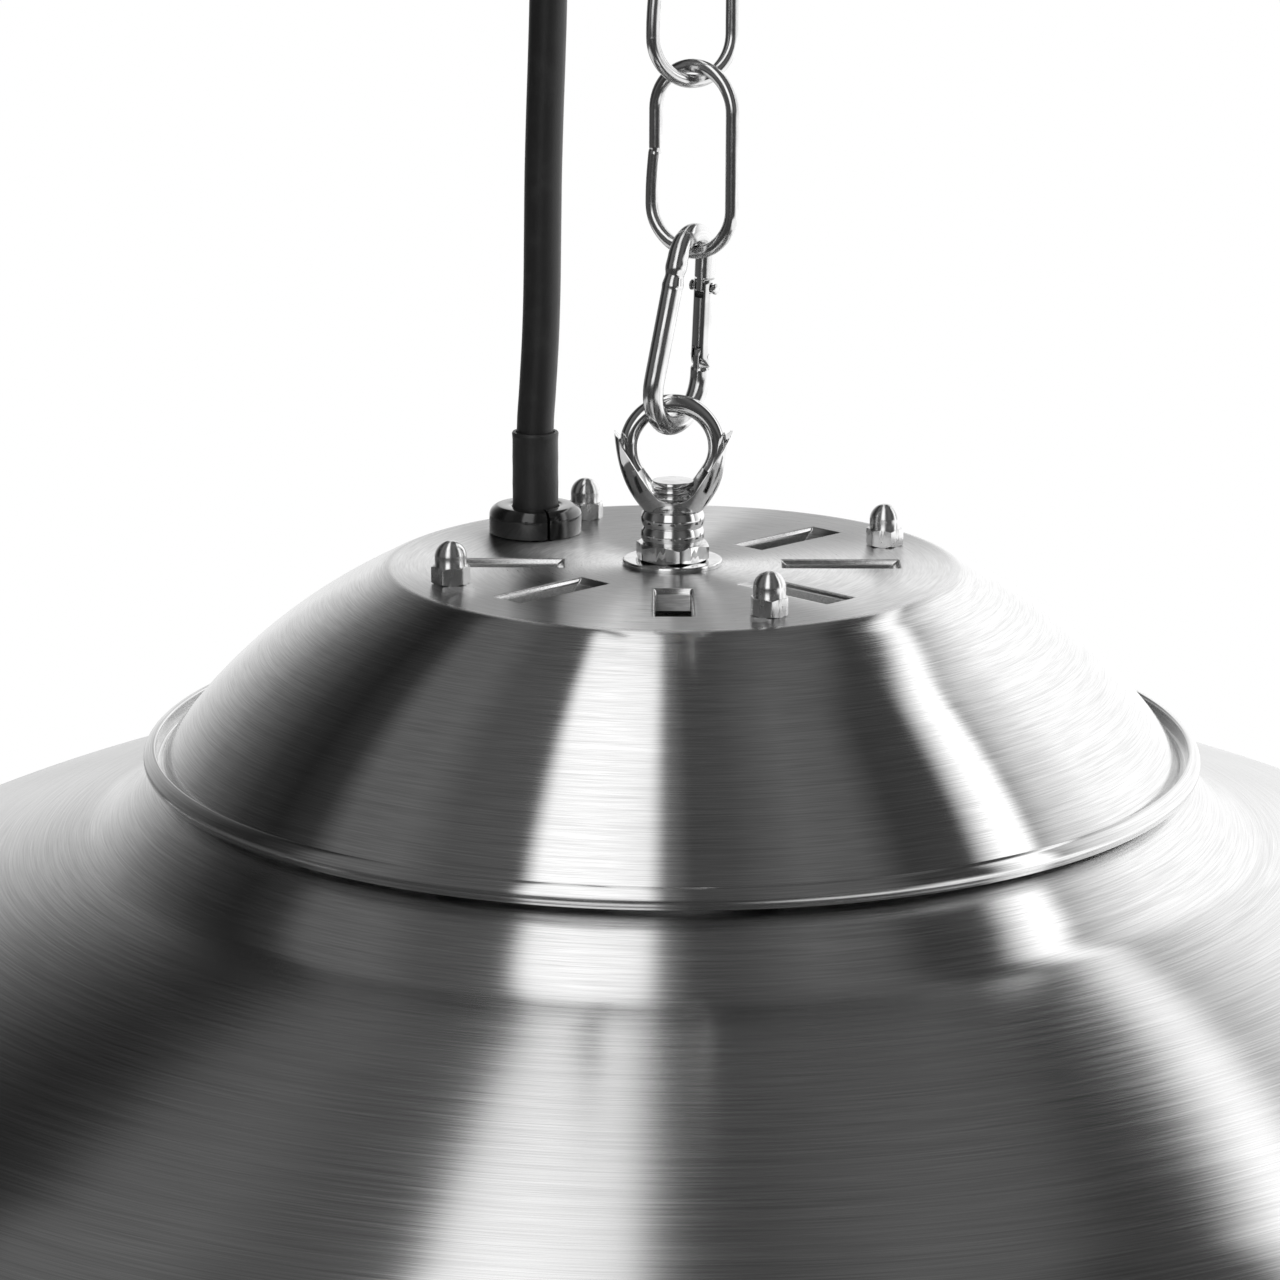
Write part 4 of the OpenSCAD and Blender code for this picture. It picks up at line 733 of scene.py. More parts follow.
def shadeOutline():
    s = shadeSetup
    crown, start, end = (s["crownR"], s["crownZ"]), s["roofStart"], s["roofEnd"]
    first, second, run, drop = s["neck"]
    neck = bezier(24, crown, (crown[0] + first, crown[1]),
                  (crown[0] + second, start[1] + run * startFall - drop), start)
    shoulder = shoulderPoints(end, s["shoulderR"], s["endSlope"], 16)
    top = shoulder[-1]
    skirt = [(top[0] + s["skirt"] * leanRun * t, top[1] - s["skirt"] * t) for t in (0.25, 0.5, 0.75, 0.96)]
    outer = [(s["holeR"], crown[1]), (crown[0] - s["crownRun"], crown[1])] + neck
    outer += roofPoints(start, end, 40)[1:] + shoulder[1:] + skirt
    foot = (top[0] + s["skirt"] * leanRun - s["beadR"], top[1] - s["skirt"])
    return outer + arc(foot, s["beadR"], 15, -195, 20) + offsetLine(outer, s["sheet"])[::-1]


def reflectorOutline():
    s = reflectorSetup
    end = (shadeSetup["roofEnd"][0], shadeSetup["roofEnd"][1] - s["gap"])
    mean = (s["z"] - end[1]) / (end[0] - s["flatR"])
    shoulder = shoulderPoints(end, s["shoulderR"], degrees(atan(2 * mean - startFall)), 12)
    foot = (shoulder[-1][0] + s["skirt"] * leanRun, shoulder[-1][1] - s["skirt"])
    outer = [(shadeSetup["holeR"], s["z"]), (s["innerR"], s["z"])] + roofPoints((s["flatR"], s["z"]), end, 36)
    outer += shoulder[1:] + [foot]
    return outer + offsetLine(outer, s["sheet"])[::-1]


settle("mainShade", [turned(shadeOutline(), shadeSetup["turns"], "shade")], "shade", 50, "heater", "stainless",
       "main_shade", weld=shadeSetup["weld"])
settle("lampReflector", [turned(reflectorOutline(), reflectorSetup["turns"], "reflector")], "reflector", 50, "heater",
       "bright_aluminium", "reflector", weld=reflectorSetup["weld"])
print("shade and reflector made")


# ---- nuts: columns round the axis, each as high as its chamfers leave it

hexSetup = {"columns": 72, "cornerShare": 0.568, "chamfer": 0.55, "edge": 0.15, "ease": 0.02, "lift": 0.06}


def hexColumns(flats, height, bore, dome=()):
    # the section at each angle runs up the outside, over the top and down the bore
    s = hexSetup
    count, ease = s["columns"], s["ease"]
    points = []
    for i in range(count):
        a = 2 * pi * i / count
        toFlat = a % (pi / 3) - pi / 6
        hexR = min(flats / 2 / cos(toFlat), flats * s["cornerShare"])
        cut = max(hexR - flats / 2, 0) * s["chamfer"] + s["lift"]
        inner = min(hexR, flats / 2)
        column = [(bore, 0), (inner - s["edge"], 0), (inner, ease), (hexR, cut), (hexR, height - cut),
                  (inner, height - ease), (inner - s["edge"], height)]
        column += list(dome) or [(bore, height)]
        points += turnedColumn(column, a)
    size = len(column)
    faces = columnFaces(count, size, section=not dome)
    if dome:
        faces.append([i * size for i in range(count - 1, -1, -1)])
        faces.append([i * size + size - 1 for i in range(count)])
    return points, faces


nutSetup = {"rodR": 55.5, "rodTurn": 22.5, "turns": (23.5, 23.5, 45.0, 42.5), "flats": 8.0, "hex": 4.2,
            "height": 10.0, "domeR": 3.68, "bore": 2.55, "collar": (0.12, 0.02, 0.3)}


def domeNutMesh():
    s = nutSetup
    r, centre = s["domeR"], s["height"] - s["domeR"]
    wider, low, high = s["collar"]
    dome = [(r + wider, s["hex"] + low), (r, s["hex"] + high), (r, centre)] + arc((0, centre), r, 6, 86, 14)
    points, faces = hexColumns(s["flats"], s["hex"], s["bore"], dome)
    return bareMesh("domeNut", [Vector(p) * mm for p in points], (), faces)


def domeNutPlaces():
    places = []
    for i, turn in enumerate(nutSetup["turns"]):
        a = radians(nutSetup["rodTurn"] + 90 * i)
        places.append((inHeater(*turnedColumn([(nutSetup["rodR"], 0)], a)[0]), (0, 0, a + radians(turn))))
    return places


settle("domeNuts", [placedCopies(domeNutMesh(), domeNutPlaces(), "domeZinc")], "domeZinc", 30, "heater",
       "bright_zinc", "dome_nuts")

lockNutSetup = {"flats": 16.0, "height": 4.0, "bore": 5.05, "turn": -20.0, "z": 1.3}


def lockNutMesh():
    s = lockNutSetup
    points, faces = hexColumns(s["flats"], s["height"], s["bore"])
    turn = Matrix.Rotation(radians(s["turn"]), 3, "Z")
    return heaterMesh("nut", [turn @ Vector(p) + Vector((0, 0, s["z"])) for p in points], faces)


settle("eyeLockNut", [lockNutMesh()], "nutZinc", 28, "heater", "bright_zinc", "eye_lock_nut")

washerSetup = {"bore": 5.2, "r": 11.8, "thick": 1.3, "edge": 0.5, "ease": 0.15, "boreEase": (0.3, 0.2)}


def washerOutline():
    s = washerSetup
    r, thick, edge, (inward, down) = s["r"], s["thick"], s["edge"], s["boreEase"]
    return ([(s["bore"], 0), (r - s["ease"], 0), (r, s["ease"])] + arc((r - edge, thick - edge), edge, 0, 90, 6)
            + [(s["bore"] + inward, thick), (s["bore"], thick - down)])


settle("eyeWasher", [turned(washerOutline(), 96, "nutZinc")], "nutZinc", 50, "heater", "bright_zinc", "eye_washer")
print("nuts and washer made")


# ---- hanging stud with its thread

# threads: (share of the pitch, depth); end: (radius less, height less)
studSetup = {"r": 5.0, "root": 4.5, "low": -15.3, "top": 20.0, "pitch": 1.5, "threadFrom": -14.0, "plain": 1.9,
             "threads": ((0.1, 0.0), (0.3, 0.03), (0.45, 0.3), (0.55, 0.5), (0.65, 0.5), (0.78, 0.3), (0.92, 0.03)),
             "end": ((0.0, 0.25), (0.2, 0.03), (0.4, 0.0)), "weld": 2e-6}


def studOutline():
    s = studSetup
    line = [(0, s["low"]), (s["root"], s["low"]), (s["r"], s["threadFrom"])]
    z = s["threadFrom"]
    while z < s["top"] - s["plain"]:
        line += [(s["r"] - depth, z + share * s["pitch"]) for share, depth in s["threads"]]
        z += s["pitch"]
    line += [(s["r"], z + 0.1)] + [(s["r"] - less, s["top"] - down) for less, down in s["end"]]
    return line + [(0, s["top"])]


settle("hangingStud", [turned(studOutline(), 64, "nutZinc", closed=False)], "nutZinc", 60, "heater", "zinc_steel",
       "hanging_stud", weld=studSetup["weld"])


# ---- suspension eye: banded neck, cup with its cut, and the ring welded between the horns

# lip: (share of the wall's thickness, rise); cup: (radius, share of its height) of the curve's two controls
eyeSetup = {"neckZ": 5.3, "neckR": 7.5, "neckEase": 0.9, "neckHeight": 7.6, "bandTurn": 34, "boreR": 5.05,
            "boreTop": 1.0, "cupLowR": 6.9, "cup": ((11.954, 0.3), (13.3, 0.62)), "cupR": 13.9, "cupHeight": 19.0,
            "wall": 1.4, "cutFloorR": 6.2, "cutLow": 3.2, "lip": ((0.08, 0.1), (0.5, 0.16), (0.92, 0.1)),
            "columns": 120, "ringZ": 27.9, "ringR": 10.4, "ringDip": 34, "wireR": 2.2, "sides": 32, "weld": 1e-6}
cupZ = eyeSetup["neckZ"] + eyeSetup["neckHeight"]


def cutHeight(x):
    # the cut's height over a point x from the middle
    s = eyeSetup
    x = abs(x)
    floorZ = cupZ + s["cutLow"] + s["cutFloorR"]
    tip = Vector((s["cupR"], s["cupHeight"] + cupZ - floorZ))
    swing = atan2(tip.y, tip.x) - acos(s["cutFloorR"] / tip.length)
    touch = s["cutFloorR"] * Vector((cos(swing), sin(swing)))
    if x <= touch.x:
        return floorZ - sqrt(s["cutFloorR"] ** 2 - x * x)
    return floorZ + touch.y + (x - touch.x) * (tip.y - touch.y) / (tip.x - touch.x)


def upToCut(line, lean, first=0, steps=16):
    # evenly spaced points on the line, from its point "first" up to the cut
    last = next((max(i - 1, 1) for i, (r, z) in enumerate(line) if z > cutHeight(r * lean)), len(line) - 1)
    spots = []
    for k in range(steps + 1):
        place = first + (last - first) * k / steps
        i = min(int(place), len(line) - 2)
        spots.append(tuple(Vector(line[i]).lerp(Vector(line[i + 1]), place - i)))
    return spots


def eyeCup():
    s = eyeSetup
    band = s["neckHeight"] / 2
    bandR = band / 2 / sin(radians(s["bandTurn"]))
    bulges = []
    for k in (0, 1):
        bulges += arc((s["neckR"] - bandR, s["neckZ"] + band * (k + 0.5)), bandR, -s["bandTurn"], s["bandTurn"], 10)
    outer = bezier(80, (s["cupLowR"], cupZ), *[(r, cupZ + s["cupHeight"] * share) for r, share in s["cup"]],
                   (s["cupR"], cupZ + s["cupHeight"]))
    inner = [(max(r, s["boreR"]), z) for r, z in offsetLine(outer, -s["wall"])]
    points = []
    for i in range(s["columns"]):
        a = 2 * pi * i / s["columns"]
        out, within = upToCut(outer, cos(a)), upToCut(inner, cos(a), 12)
        rim = [tuple(Vector(out[-1]).lerp(Vector(within[-1]), t) + Vector((0, lift))) for t, lift in s["lip"]]
        column = [(s["boreR"], s["neckZ"]), (s["neckR"] - s["neckEase"], s["neckZ"])] + bulges + out + rim
        column += within[::-1] + [(s["boreR"], cupZ + s["boreTop"])]
        points += turnedColumn(column, a)
    return heaterMesh("cup", points, columnFaces(s["columns"], len(column)))


def eyeRing():
    s = eyeSetup
    turns = arc((0, s["ringZ"]), s["ringR"], -s["ringDip"], 180 + s["ringDip"], 96)
    return bentWire([(inHeater(x, 0, z), 1.0) for x, z in turns], s["wireR"], s["sides"], "zincWire")


settle("suspensionEye", [eyeCup(), eyeRing()], "zincWire", 50, "heater", "bright_zinc", "suspension_eye",
       weld=eyeSetup["weld"])
print("eye made")


# ---- chain links and snap hook body

chainSetup = {"length": 46.0, "width": 24.0, "wire": 3.2, "turns": (-33.0, 33.0, -33.0), "gap": 0.3, "drop": 54.0,
              "seamZ": 1.5, "seamHalf": 0.3, "seamSwell": -0.12, "splay": 0.8, "step": 0.15, "sides": 28,
              "bodies": ("link_3", "link_2", "link_1")}


def linkPath(index):
    # a closed loop, pinched at its weld seam, with the wire below the seam a little out of line
    s = chainSetup
    pivot = -s["drop"] - index * (s["length"] - 2 * s["wire"] - s["gap"])
    middle = pivot + s["gap"] / 2 + s["wire"] - s["length"] / 2
    r = (s["width"] - s["wire"]) / 2
    half = (s["length"] - s["width"]) / 2
    flat = [(-r, -half + 2 * half * (i / 72)) for i in range(1, 72)] + arc((0, half), r, 180, 0, 32)
    flat += [(r, half - 2 * half * (i / 24)) for i in range(1, 24)] + arc((0, -half), r, 0, -180, 32)
    turn = radians(s["turns"][index])
    path = []
    for x, z in flat:
        swell = 1.0 + (s["seamSwell"] * exp(-((z - s["seamZ"]) / s["seamHalf"]) ** 2) if x < -r + 0.01 else 0.0)
        if x < 0 and z < s["seamZ"]:
            x -= s["splay"] * sin(pi * min((s["seamZ"] - z) / (half + s["seamZ"] + r), 1.0)) + s["step"]
        path.append((Vector((x * cos(turn), x * sin(turn), middle + z)) * mm, swell))
    return path


for index, body in enumerate(chainSetup["bodies"]):
    wire = bentWire(linkPath(index), chainSetup["wire"] / 2, chainSetup["sides"], "chainWire", closed=True)
    settle("chainLink" + body[-1], [wire], "chainWire", 60, body, "bright_zinc", "chain_" + body)
print("links made")


# ---- snap hook: one bent wire with its tongues and catch pin, and the forked gate

# crimps: (place on the back limb, half length, swell); pinHead: (place from its end, radius);
# tongueStart and gateTip: (distance from the end, share of the width); slotShade: (inset, extra width, low, high) of
# the near-black block that paints shade into the gate's slot
hookSetup = {"pivotZ": -171.9, "gap": 0.3, "slant": 6.3153, "length": 50.0, "wide": 25.0, "narrow": 17.0, "wire": 4.8,
             "turn": 57.0, "hingeAt": 4.4, "hingeR": 2.3, "gateEnd": 23.05, "endGap": 0.5, "tongue": 1.7,
             "tongueR": 2.2, "tongueTip": 19.9, "slot": 2.3, "slotTop": 18.75, "slotLow": 7.0, "pinAt": 20.9,
             "pinR": 0.95, "pinLength": 7.4, "pinGap": 0.15, "sides": 32, "weld": 1e-6,
             "crimps": ((26.6, 1.2, 0.05), (24.4, 1.0, -0.1), (22.2, 0.6, 0.05)),
             "tongueStart": ((0.0, 0.8), (0.4, 1.0)), "tongueInto": (0.6, 0.9), "gateTip": ((0.2, 1.0), (0.0, 0.94)),
             "slotShade": (0.05, 0.2, 0.1, 0.45),
             "pinHead": ((0.0, 0.0), (0.0, 0.6), (0.1, 1.0), (0.35, 1.3), (0.75, 1.3), (1.0, 0.95))}


def hookPlaces():
    # the hook's own frame, and the frame of its gate limb
    s = hookSetup
    place = (Matrix.Translation((0, 0, s["pivotZ"] + s["gap"] / 2))
             @ Matrix.Rotation(radians(s["slant"]), 4, "Y")
             @ Matrix.Translation((0, 0, s["wire"] - s["length"] / 2))
             @ Matrix.Rotation(radians(s["turn"]), 4, "Z"))
    low, top = (s["wide"] - s["wire"]) / 2, (s["narrow"] - s["wire"]) / 2
    lowZ, topZ = s["wide"] / 2 - s["length"] / 2, s["length"] / 2 - s["narrow"] / 2
    lean = asin((low - top) / (topZ - lowZ))
    limb = (place @ Matrix.Translation((low * cos(lean), 0, lowZ + low * sin(lean)))
            @ Matrix.Rotation(-lean, 4, "Y"))
    return place, limb, low, top, lowZ, topZ, lean, (topZ - lowZ) * cos(lean)


hookFrame, limbFrame, hookLowR, hookTopR, hookLowZ, hookTopZ, hookLean, limbLength = hookPlaces()


def hookPath():
    s = hookSetup
    lean = degrees(hookLean)
    limbUp = Vector((-sin(hookLean), cos(hookLean)))
    foot = Vector((hookLowR * cos(hookLean), hookLowZ + hookLowR * sin(hookLean)))
    shoulder, hinge = s["gateEnd"] + s["endGap"], s["hingeAt"] - s["wire"] / 2 - s["gap"]
    line = [(foot + limbUp * (shoulder + (limbLength - shoulder) * k / 6), 1.0) for k in range(6)]
    line += [(p, 1.0) for p in arc((0, hookTopZ), hookTopR, lean, 180 - lean, 28)]
    for k in range(1, 96):
        at = limbLength * (1 - k / 96)
        swell = 1.0 + sum(size * exp(-((at - place) / half) ** 2) for place, half, size in s["crimps"])
        p = foot + limbUp * at
        line.append(((-p.x, p.y), swell))
    line += [(p, 1.0) for p in arc((0, hookLowZ), hookLowR, 180 - lean, 360 + lean, 40)]
    line += [(foot + limbUp * hinge * k / 4, swell) for k, swell in ((1, 1.0), (2, 1.0), (3, 1.0), (4, 0.9))]
    return [(hookFrame @ Vector((x, 0, z)) * mm, swell) for (x, z), swell in line]


def cutLoop(loop, axis, limit, keepAbove):
    # the part of a flat loop above or below a limit on one axis
    kept = []
    sign = 1 if keepAbove else -1
    for a, b in zip(loop, loop[1:] + loop[:1]):
        da, db = sign * (a[axis] - limit), sign * (b[axis] - limit)
        if da >= 0:
            kept.append(a)
        if da * db < 0:
            t = da / (da - db)
            kept.append(tuple(u + (v - u) * t for u, v in zip(a, b)))
    return kept


def middleOf(loop, width):
    return cutLoop(cutLoop(loop, 1, width / 2, False), 1, -width / 2, True)


def limbMesh(points, faces):
    return bareMesh("block", [limbFrame @ Vector(p) * mm for p in points], (), faces)


def limbBlock(loop, levels, squareOut=False):
    # levels: (height, share of the loop's x width); both ends are closed, and the outer side can stay square
    loops = [[(x if squareOut and x > 0 else x * share, y, z) for x, y in loop] for z, share in levels]
    points, faces = loftLoops(loops)
    size = len(loop)
    faces.append(tuple(range(size - 1, -1, -1)))
    faces.append(tuple(range(len(points) - size, len(points))))
    return limbMesh(points, faces)


def roundEnd(r, at, stop):
    # levels of a block whose end is rounded about the hinge at "at", then runs on to stop
    away = 1 if stop < at else -1
    levels = [(at + away * r * cos(a), sin(a)) for a in (radians(90 * k / 8) for k in range(1, 9))]
    return levels + [(stop, 1.0)]


def catchPin():
    s = hookSetup
    side = [(place - s["pinLength"] / 2, q) for place, q in s["pinHead"]]
    side += [(-y, q) for y, q in side[::-1]]
    return limbMesh(*loftLoops([[(u, y, s["pinAt"] + v) for u, v in circle(q, 24)] for y, q in side]))


def hookMeshes():
    s = hookSetup
    flat = middleOf(circle(s["tongueR"], 40), s["tongue"])
    intoUpper, intoLower = s["tongueInto"]
    upper = [(s["tongueTip"] + up, share) for up, share in s["tongueStart"]]
    upper.append((s["gateEnd"] + s["endGap"] + intoUpper, 1.0))
    lower = roundEnd(s["hingeR"], s["hingeAt"], s["hingeAt"] - s["wire"] / 2 - intoLower)
    return [bentWire(hookPath(), s["wire"] / 2, s["sides"], "chainWire"), limbBlock(flat, upper),
            limbBlock(flat, lower), catchPin()]


def gateMeshes():
    s = hookSetup
    r = s["wire"] / 2
    bar = circle(r, 48, 0.5)
    notch = s["pinR"] + s["pinGap"]
    low, high = s["pinAt"] - notch, s["pinAt"] + notch
    blocks = [limbBlock(bar, [(s["slotLow"], 1.0), (s["slotTop"], 1.0)])]
    for side in (1, -1):
        leg = cutLoop(bar, 1, side * s["slot"] / 2, side > 0)
        blocks.append(limbBlock(leg, roundEnd(r, s["hingeAt"], s["slotLow"]), True))
        blocks.append(limbBlock(leg, [(s["slotTop"], 1.0), (low, 1.0)]))
        blocks.append(limbBlock(cutLoop(leg, 0, -notch, False), [(low, 1.0), (high, 1.0)]))
        blocks.append(limbBlock(leg, [(high, 1.0)] + [(s["gateEnd"] - down, share) for down, share in s["gateTip"]]))
    return blocks


def slotShadeMesh():
    # painted shade: a near-black block at the bottom of the slot under the upper tongue, where shade falls
    s = hookSetup
    inset, wider, low, high = s["slotShade"]
    bar = middleOf(circle(s["wire"] / 2 - inset, 48, 0.5), s["slot"] + wider)
    return limbBlock(bar, [(s["slotTop"] - low, 1.0), (s["tongueTip"] - high, 1.0)])


settle("snapHookBody", hookMeshes(), "chainWire", 40, "snap_hook", "bright_zinc", "snap_hook_body",
       weld=hookSetup["weld"])
settle("snapHookGate", gateMeshes(), "zincWire", 40, "gate", "bright_zinc", "snap_hook_gate")
# the slot's painted shade: a near-black block that rides on the gate
settle("gateRecess", [slotShadeMesh()], "slotShade", 40, "gate", "zinc_steel")
print("snap hook made")


# ---- cable grip and sleeve

# catch: (radius more than the barrel's, low, high); bevel and the bore's mouth: (radius, height) from the corner;
# ripples: (depth, turn per step, steps, distance from the ends); foot and brim: (radius more, height from the end)
gripSetup = {"x": -33.2, "y": 34.0, "bore": 5.65, "flangeR": 11.3, "flange": 7.0, "round": 2.5, "barrelR": 8.0,
             "low": -7.0, "nose": 0.6, "catch": (0.7, -2.8, -1.3), "seat": 0.05, "bevel": (0.35, 0.4), "split": 0.7,
             "splitTurn": -72.0, "mouth": ((1.2, 0.0), (0.3, 0.15), (0.0, 0.5)), "columns": 96}
sleeveSetup = {"outside": 5.6, "inside": 4.7, "low": -9.0, "top": 25.0, "ripples": (0.06, 2.1, 14, 2.0),
               "foot": ((-0.2, 0.0), (0.0, 0.3)), "brim": ((0.0, 1.2), (0.08, 0.35), (-0.1, 0.0)),
               "mouth": ((0.1, 0.0), (0.0, 0.2)), "sides": 64}


def gripMesh():
    s = gripSetup
    bore, barrel, flangeR, top, seat = s["bore"], s["barrelR"], s["flangeR"], s["flange"], s["seat"]
    wider, catchLow, catchTop = s["catch"]
    line = [(bore, s["low"]), (barrel - s["nose"], s["low"]), (barrel + wider, catchLow), (barrel + wider, catchTop),
            (barrel, catchTop), (barrel, seat), (flangeR - s["bevel"][0], seat), (flangeR, s["bevel"][1])]
    line += arc((flangeR - s["round"], top - s["round"]), s["round"], 0, 82, 12)
    line += [(bore + more, top - down) for more, down in s["mouth"]]
    half = degrees(s["split"] / 2 / flangeR)
    points = []
    for i in range(s["columns"] + 1):
        a = radians(s["splitTurn"] + half + (360 - 2 * half) * i / s["columns"])
        points += turnedColumn(line, a, s["x"], s["y"])
    size = len(line)
    faces = columnFaces(s["columns"] + 1, size, around=False)
    faces += [tuple(range(size - 1, -1, -1)), tuple(range(s["columns"] * size, len(points)))]
    return heaterMesh("grip", points, faces)


def sleeveMesh():
    s = sleeveSetup
    inside, outside, low, top = s["inside"], s["outside"], s["low"], s["top"]
    depth, turn, steps, clear = s["ripples"]
    outline = [(inside, low)] + [(outside + more, low + up) for more, up in s["foot"]]
    outline += [(outside - depth * sin(k * turn) ** 2, low + clear + (top - low - 2 * clear) * k / steps)
                for k in range(steps + 1)]
    outline += [(outside + more, top - down) for more, down in s["brim"]]
    outline += [(inside + more, top - down) for more, down in s["mouth"]]
    return turned(outline, s["sides"], "sleeve", axis=inHeater(gripSetup["x"], gripSetup["y"], 0))


settle("cableGrip", [gripMesh()], "grip", 50, "heater", "gloss_black", "cable_grip")
settle("cableSleeve", [sleeveMesh()], "sleeve", 50, "heater", "sleeve_black", "cable_sleeve")
print("grip and sleeve made")


# ---- lamp filament: a coil along the ring lamp, from cap to cap

filamentSetup = {"ringR": 110.0, "gapAt": 135.0, "halfGap": 14.0, "coilR": 0.78, "wireR": 0.2, "curls": 220,
                 "perCurl": 9, "sides": 6}


def filamentMesh():
    s = filamentSetup
    low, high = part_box("lamp_filament")
    z = ((low.z + high.z) / 2 - capTop) / mm
    count = s["curls"] * s["perCurl"]
    path = []
    for i in range(count + 1):
        a = radians(s["gapAt"] + s["halfGap"] + (360 - 2 * s["halfGap"]) * (i / count))
        curl = 2 * pi * i / s["perCurl"]
        r = s["ringR"] + s["coilR"] * cos(curl)
        path.append((inHeater(r * cos(a), r * sin(a), z + s["coilR"] * sin(curl)), 1.0))
    return bentWire(path, s["wireR"], s["sides"], "filament")


settle("lampFilament", [filamentMesh()], "filament", 60, "heater", "filament_metal", "lamp_filament")
print("filament made")


# ---- carried-over parts get their finishes

nodeFinishes = {
    "plainZinc": ("ceiling_bracket", "tie_rods", "support_plate", "spacer_tubes", "reflector_spacers", "lamp_clips",
                  "guard_clips", "earth_screw", "stud_inner_washer"),
    "rose": ("ceiling_rose",),
    "zincWire": ("ceiling_hook", "gate_hinge_pin"),
    "nutZinc": ("hook_nuts", "rose_nut", "stud_inner_nut", "reflector_nuts", "guard_screws"),
    "blackPlastic": ("cable_gland", "gland_nut"),
    "rubber": ("supply_tail",),
    "ceramic": ("supply_connector", "terminal_block", "lamp_end_caps", "lead_grommets"),
    "brass": ("connector_screws", "terminal_screws"),
    "spring": ("gate_spring",),
    "glass": ("lamp_tube",),
    "guard": ("guard_rings", "guard_spokes"),
    "brownWire": ("live_lead",),
    "blueWire": ("neutral_lead",),
    "earthWire": ("earth_lead",),
}
for finish, nodes in nodeFinishes.items():
    for node in nodes:
        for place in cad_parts[node].material_slots:
            place.material = finishes[finish]
# the cap in the photo doesn't mirror the ceiling's pieces, so reflections leave them out
for node in ("ceiling_rose", "ceiling_bracket", "ceiling_hook", "hook_nuts", "rose_nut", "cable_gland", "gland_nut",
             "supply_tail", "supply_connector"):
    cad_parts[node].visible_glossy = False
print("carried-over parts finished")


# ---- floor, lights and surroundings

# cards: (side of a turned surface that shows the card in the front view, brightness), in degrees;
# heights: (lean of the reflection from upright, share); slide, sweep and lowFrom are leans too
studioSetup = {"floorDrop": 1.6, "floorSize": 7.0, "floorTone": 0.8, "cameraGlow": 0.67,
               "floorRight": (0.5, 1.6, 0.05, 1.2), "floorUnder": (-1.3, -0.5, 0.0, 0.75),
               "cards": [(-90, 0.93), (-86, 0.8), (-80, 0.62), (-74, 0.4), (-68, 0.2), (-62, 0.1), (-56, 0.04),
                         (-50, 0.02), (-44, 0.04), (-40, 0.14), (-32, 0.15), (-26, 0.1), (-17.0, 0.1), (-14.9, 1.3),
                         (-10, 1.35), (-6, 1.3), (-2.6, 1.2), (-0.9, 0.2), (2, 0.07), (7, 0.08), (15, 0.14),
                         (22, 0.12), (27, 0.05), (34.8, 0.06), (37.5, 1.0), (40.5, 1.8), (42.6, 1.7), (44.8, 0.44),
                         (48.5, 0.82), (57, 1.3), (66, 1.36), (90, 1.18)],
               "lowCards": [(-90, 0.35), (-70, 0.12), (-20, 0.05), (-13, 0.07), (-5, 0.08), (2, 0.05), (20, 0.06),
                            (24, 0.12), (30, 1.0), (40, 1.35), (60, 1.4), (90, 1.3)],
               "lowFrom": (82, 85.5), "slide": (38, 15, 18.8), "slideSide": (0.53, 0.67),
               "heights": [(0, 0.98), (12, 0.84), (18, 0.77), (25, 0.81), (30, 0.96), (36, 1.0), (90, 1.0)],
               "sweep": (3, 17), "backdrop": 0.98}


def makeFloor():
    s = studioSetup
    half, z = s["floorSize"] / 2, -s["floorDrop"]
    corners = [(x, y, z) for x, y in ((-half, -half), (half, -half), (half, half), (-half, half))]
    mesh = bareMesh("floor", corners, (), [(0, 1, 2, 3)])
    material, net = newFinish("pale floor")
    matt = net.add("ShaderNodeBsdfDiffuse", None, {"Color": grey(s["floorTone"])})
    glow = net.add("ShaderNodeEmission", None, {"Color": grey(1.0), "Strength": s["cameraGlow"]})
    none = net.add("ShaderNodeEmission", None, {"Color": grey(0.0), "Strength": 0.0})
    toCamera, throughGlass, inMetal = [net.add("ShaderNodeLightPath", output="Is %s Ray" % kind)
                                       for kind in ("Camera", "Transmission", "Glossy")]
    seen = net.maths("MAXIMUM", toCamera, throughGlass)
    shown = net.add("ShaderNodeMixShader", None, {0: seen, 1: none, 2: glow})
    pale = net.add("ShaderNodeAddShader", None, {0: matt, 1: shown})
    # metal sees it dim in front, pale at the right and under the heater
    x, y, z = net.parts(net.objectPlace())
    level = net.maths("MAXIMUM", net.between(x, *s["floorRight"]), net.between(y, *s["floorUnder"]))
    dim = net.add("ShaderNodeEmission", None, {"Color": level, "Strength": 1.0})
    closeFinish(net, net.add("ShaderNodeMixShader", None, {0: inMetal, 1: pale, 2: dim}))
    mesh.materials.append(material)
    floor = newObject("floor", mesh)


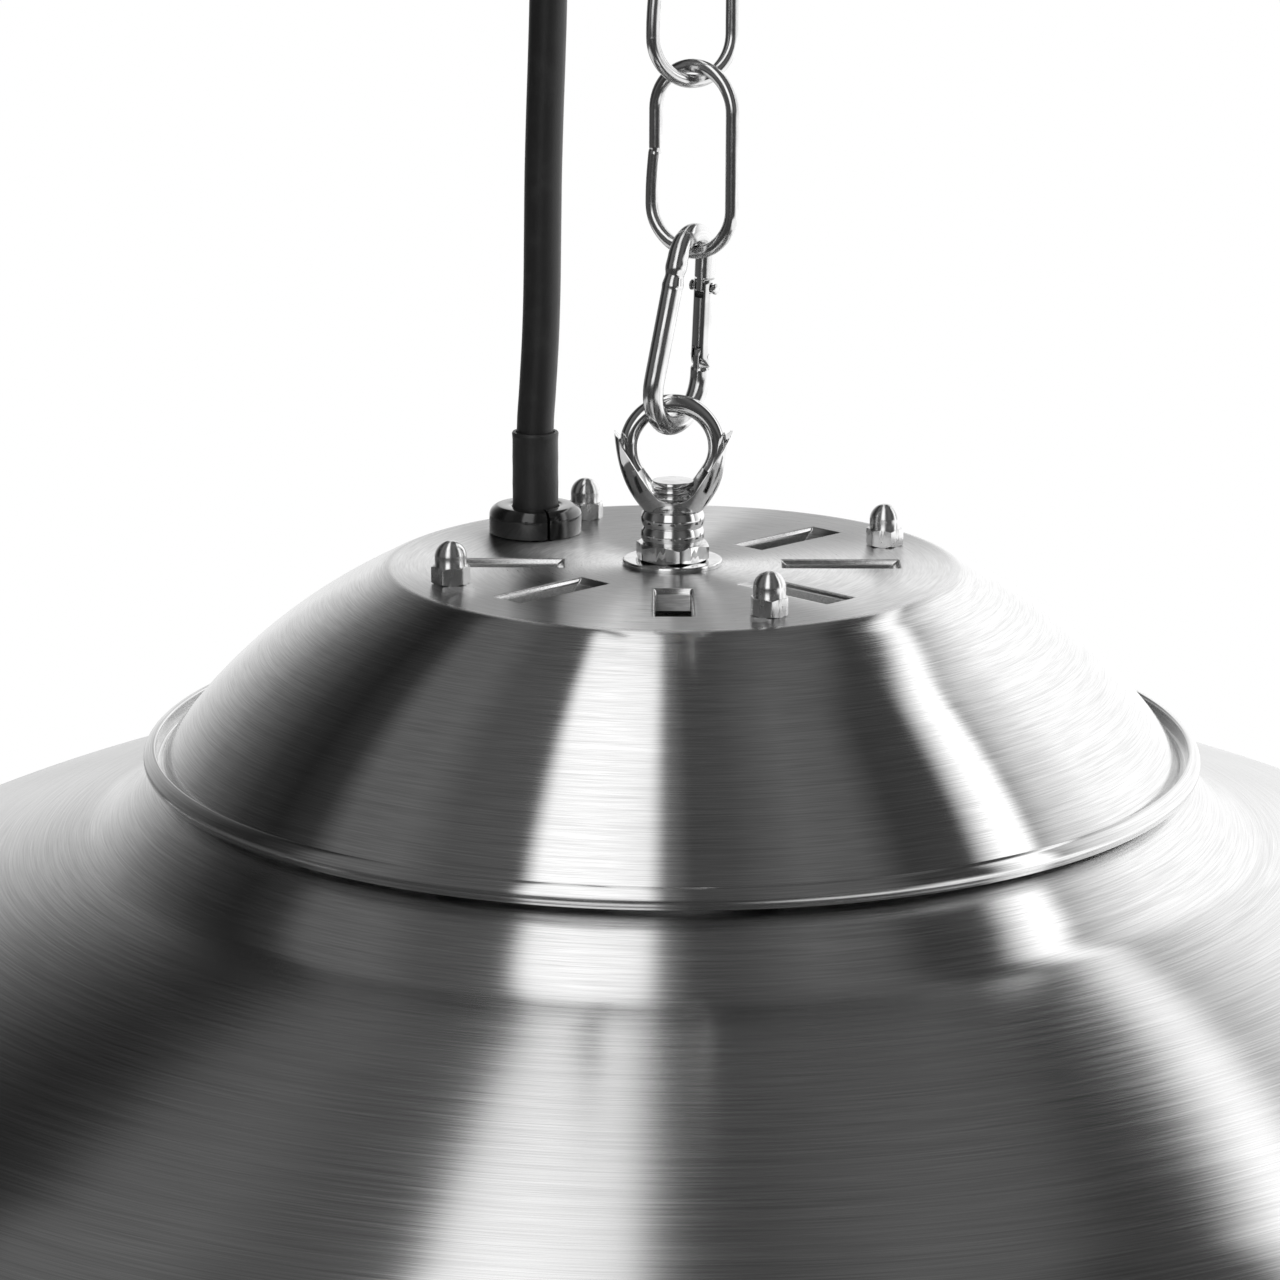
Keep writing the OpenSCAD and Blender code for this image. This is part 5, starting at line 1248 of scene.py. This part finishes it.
def makeWorld():
    # tall bright and dark cards stand round the heater, and a white sweep behind it;
    # low cards show in upright and overhanging surfaces only
    s = studioSetup
    world = bpy.data.worlds.new("studio")
    bpy.context.scene.world = world
    world.use_nodes = True
    world.node_tree.nodes.clear()
    net = Net(world.node_tree)

    def ramp(stops, place):
        return net.add("ShaderNodeValToRGB", {"stops": stops}, {0: place})

    def overLean(first, last, *levels, smooth=True):
        return net.between(lean, first / 90, last / 90, *levels, smooth=smooth)

    x, y, z = net.parts(net.add("ShaderNodeTexCoord", output=0))
    tilt = radians(cameraSetup["pitch"])
    away = cos(tilt) - y
    rise = z + sin(tilt)
    side = net.maths("ARCTAN2", x, away) / pi + 0.5
    lean = net.maths("ARCTAN2", net.maths("SQRT", x * x + away * away), rise) / (pi / 2)
    # the right-hand cards stand near, so they slide round as the surface flattens
    slideFrom, slideTo, slideBy = s["slide"]
    slid = overLean(slideFrom, slideTo, 0.0, slideBy / 180, smooth=False) * net.between(side, *s["slideSide"])
    # a ramp holds at most 1, so the cards are halved in it
    upper, lower = [ramp([(a / 180 + 0.5, v / 2) for a, v in s[row]], side - slid) * 2
                    for row in ("cards", "lowCards")]
    cards = upper + overLean(*s["lowFrom"]) * (lower - upper)
    around = cards * ramp([(a / 90, v) for a, v in s["heights"]], lean)
    level = around + overLean(*s["sweep"], 1.0, 0.0) * (s["backdrop"] - around)
    level = level + net.add("ShaderNodeLightPath", output="Is Camera Ray") * (1.0 - level)
    shade = net.add("ShaderNodeBackground", None, {"Color": level, "Strength": 1.0})
    net.feed(net.tree.nodes.new("ShaderNodeOutputWorld").inputs["Surface"], shade)


lightAim = Vector((0, 0, -0.25))
lightSetup = [
    {"name": "topSoft", "place": (0.3, -0.4, 1.3), "size": 1.6, "power": 14},
    {"name": "frontSoft", "place": (1.4, -1.6, 0.3), "size": 1.4, "power": 10},
]


def makeLights():
    for setup in lightSetup:
        data = bpy.data.lights.new(setup["name"], "AREA")
        data.shape = "DISK"
        data.size = setup["size"]
        data.energy = setup["power"]
        lamp = bpy.data.objects.new(setup["name"], data)
        bpy.context.scene.collection.objects.link(lamp)
        lamp.location = setup["place"]
        lamp.rotation_euler = (lightAim - Vector(setup["place"])).to_track_quat("-Z", "Y").to_euler()
        lamp.visible_glossy = False


makeFloor()
makeWorld()
makeLights()
bpy.context.scene.view_settings.view_transform = "Standard"
print("studio ready")
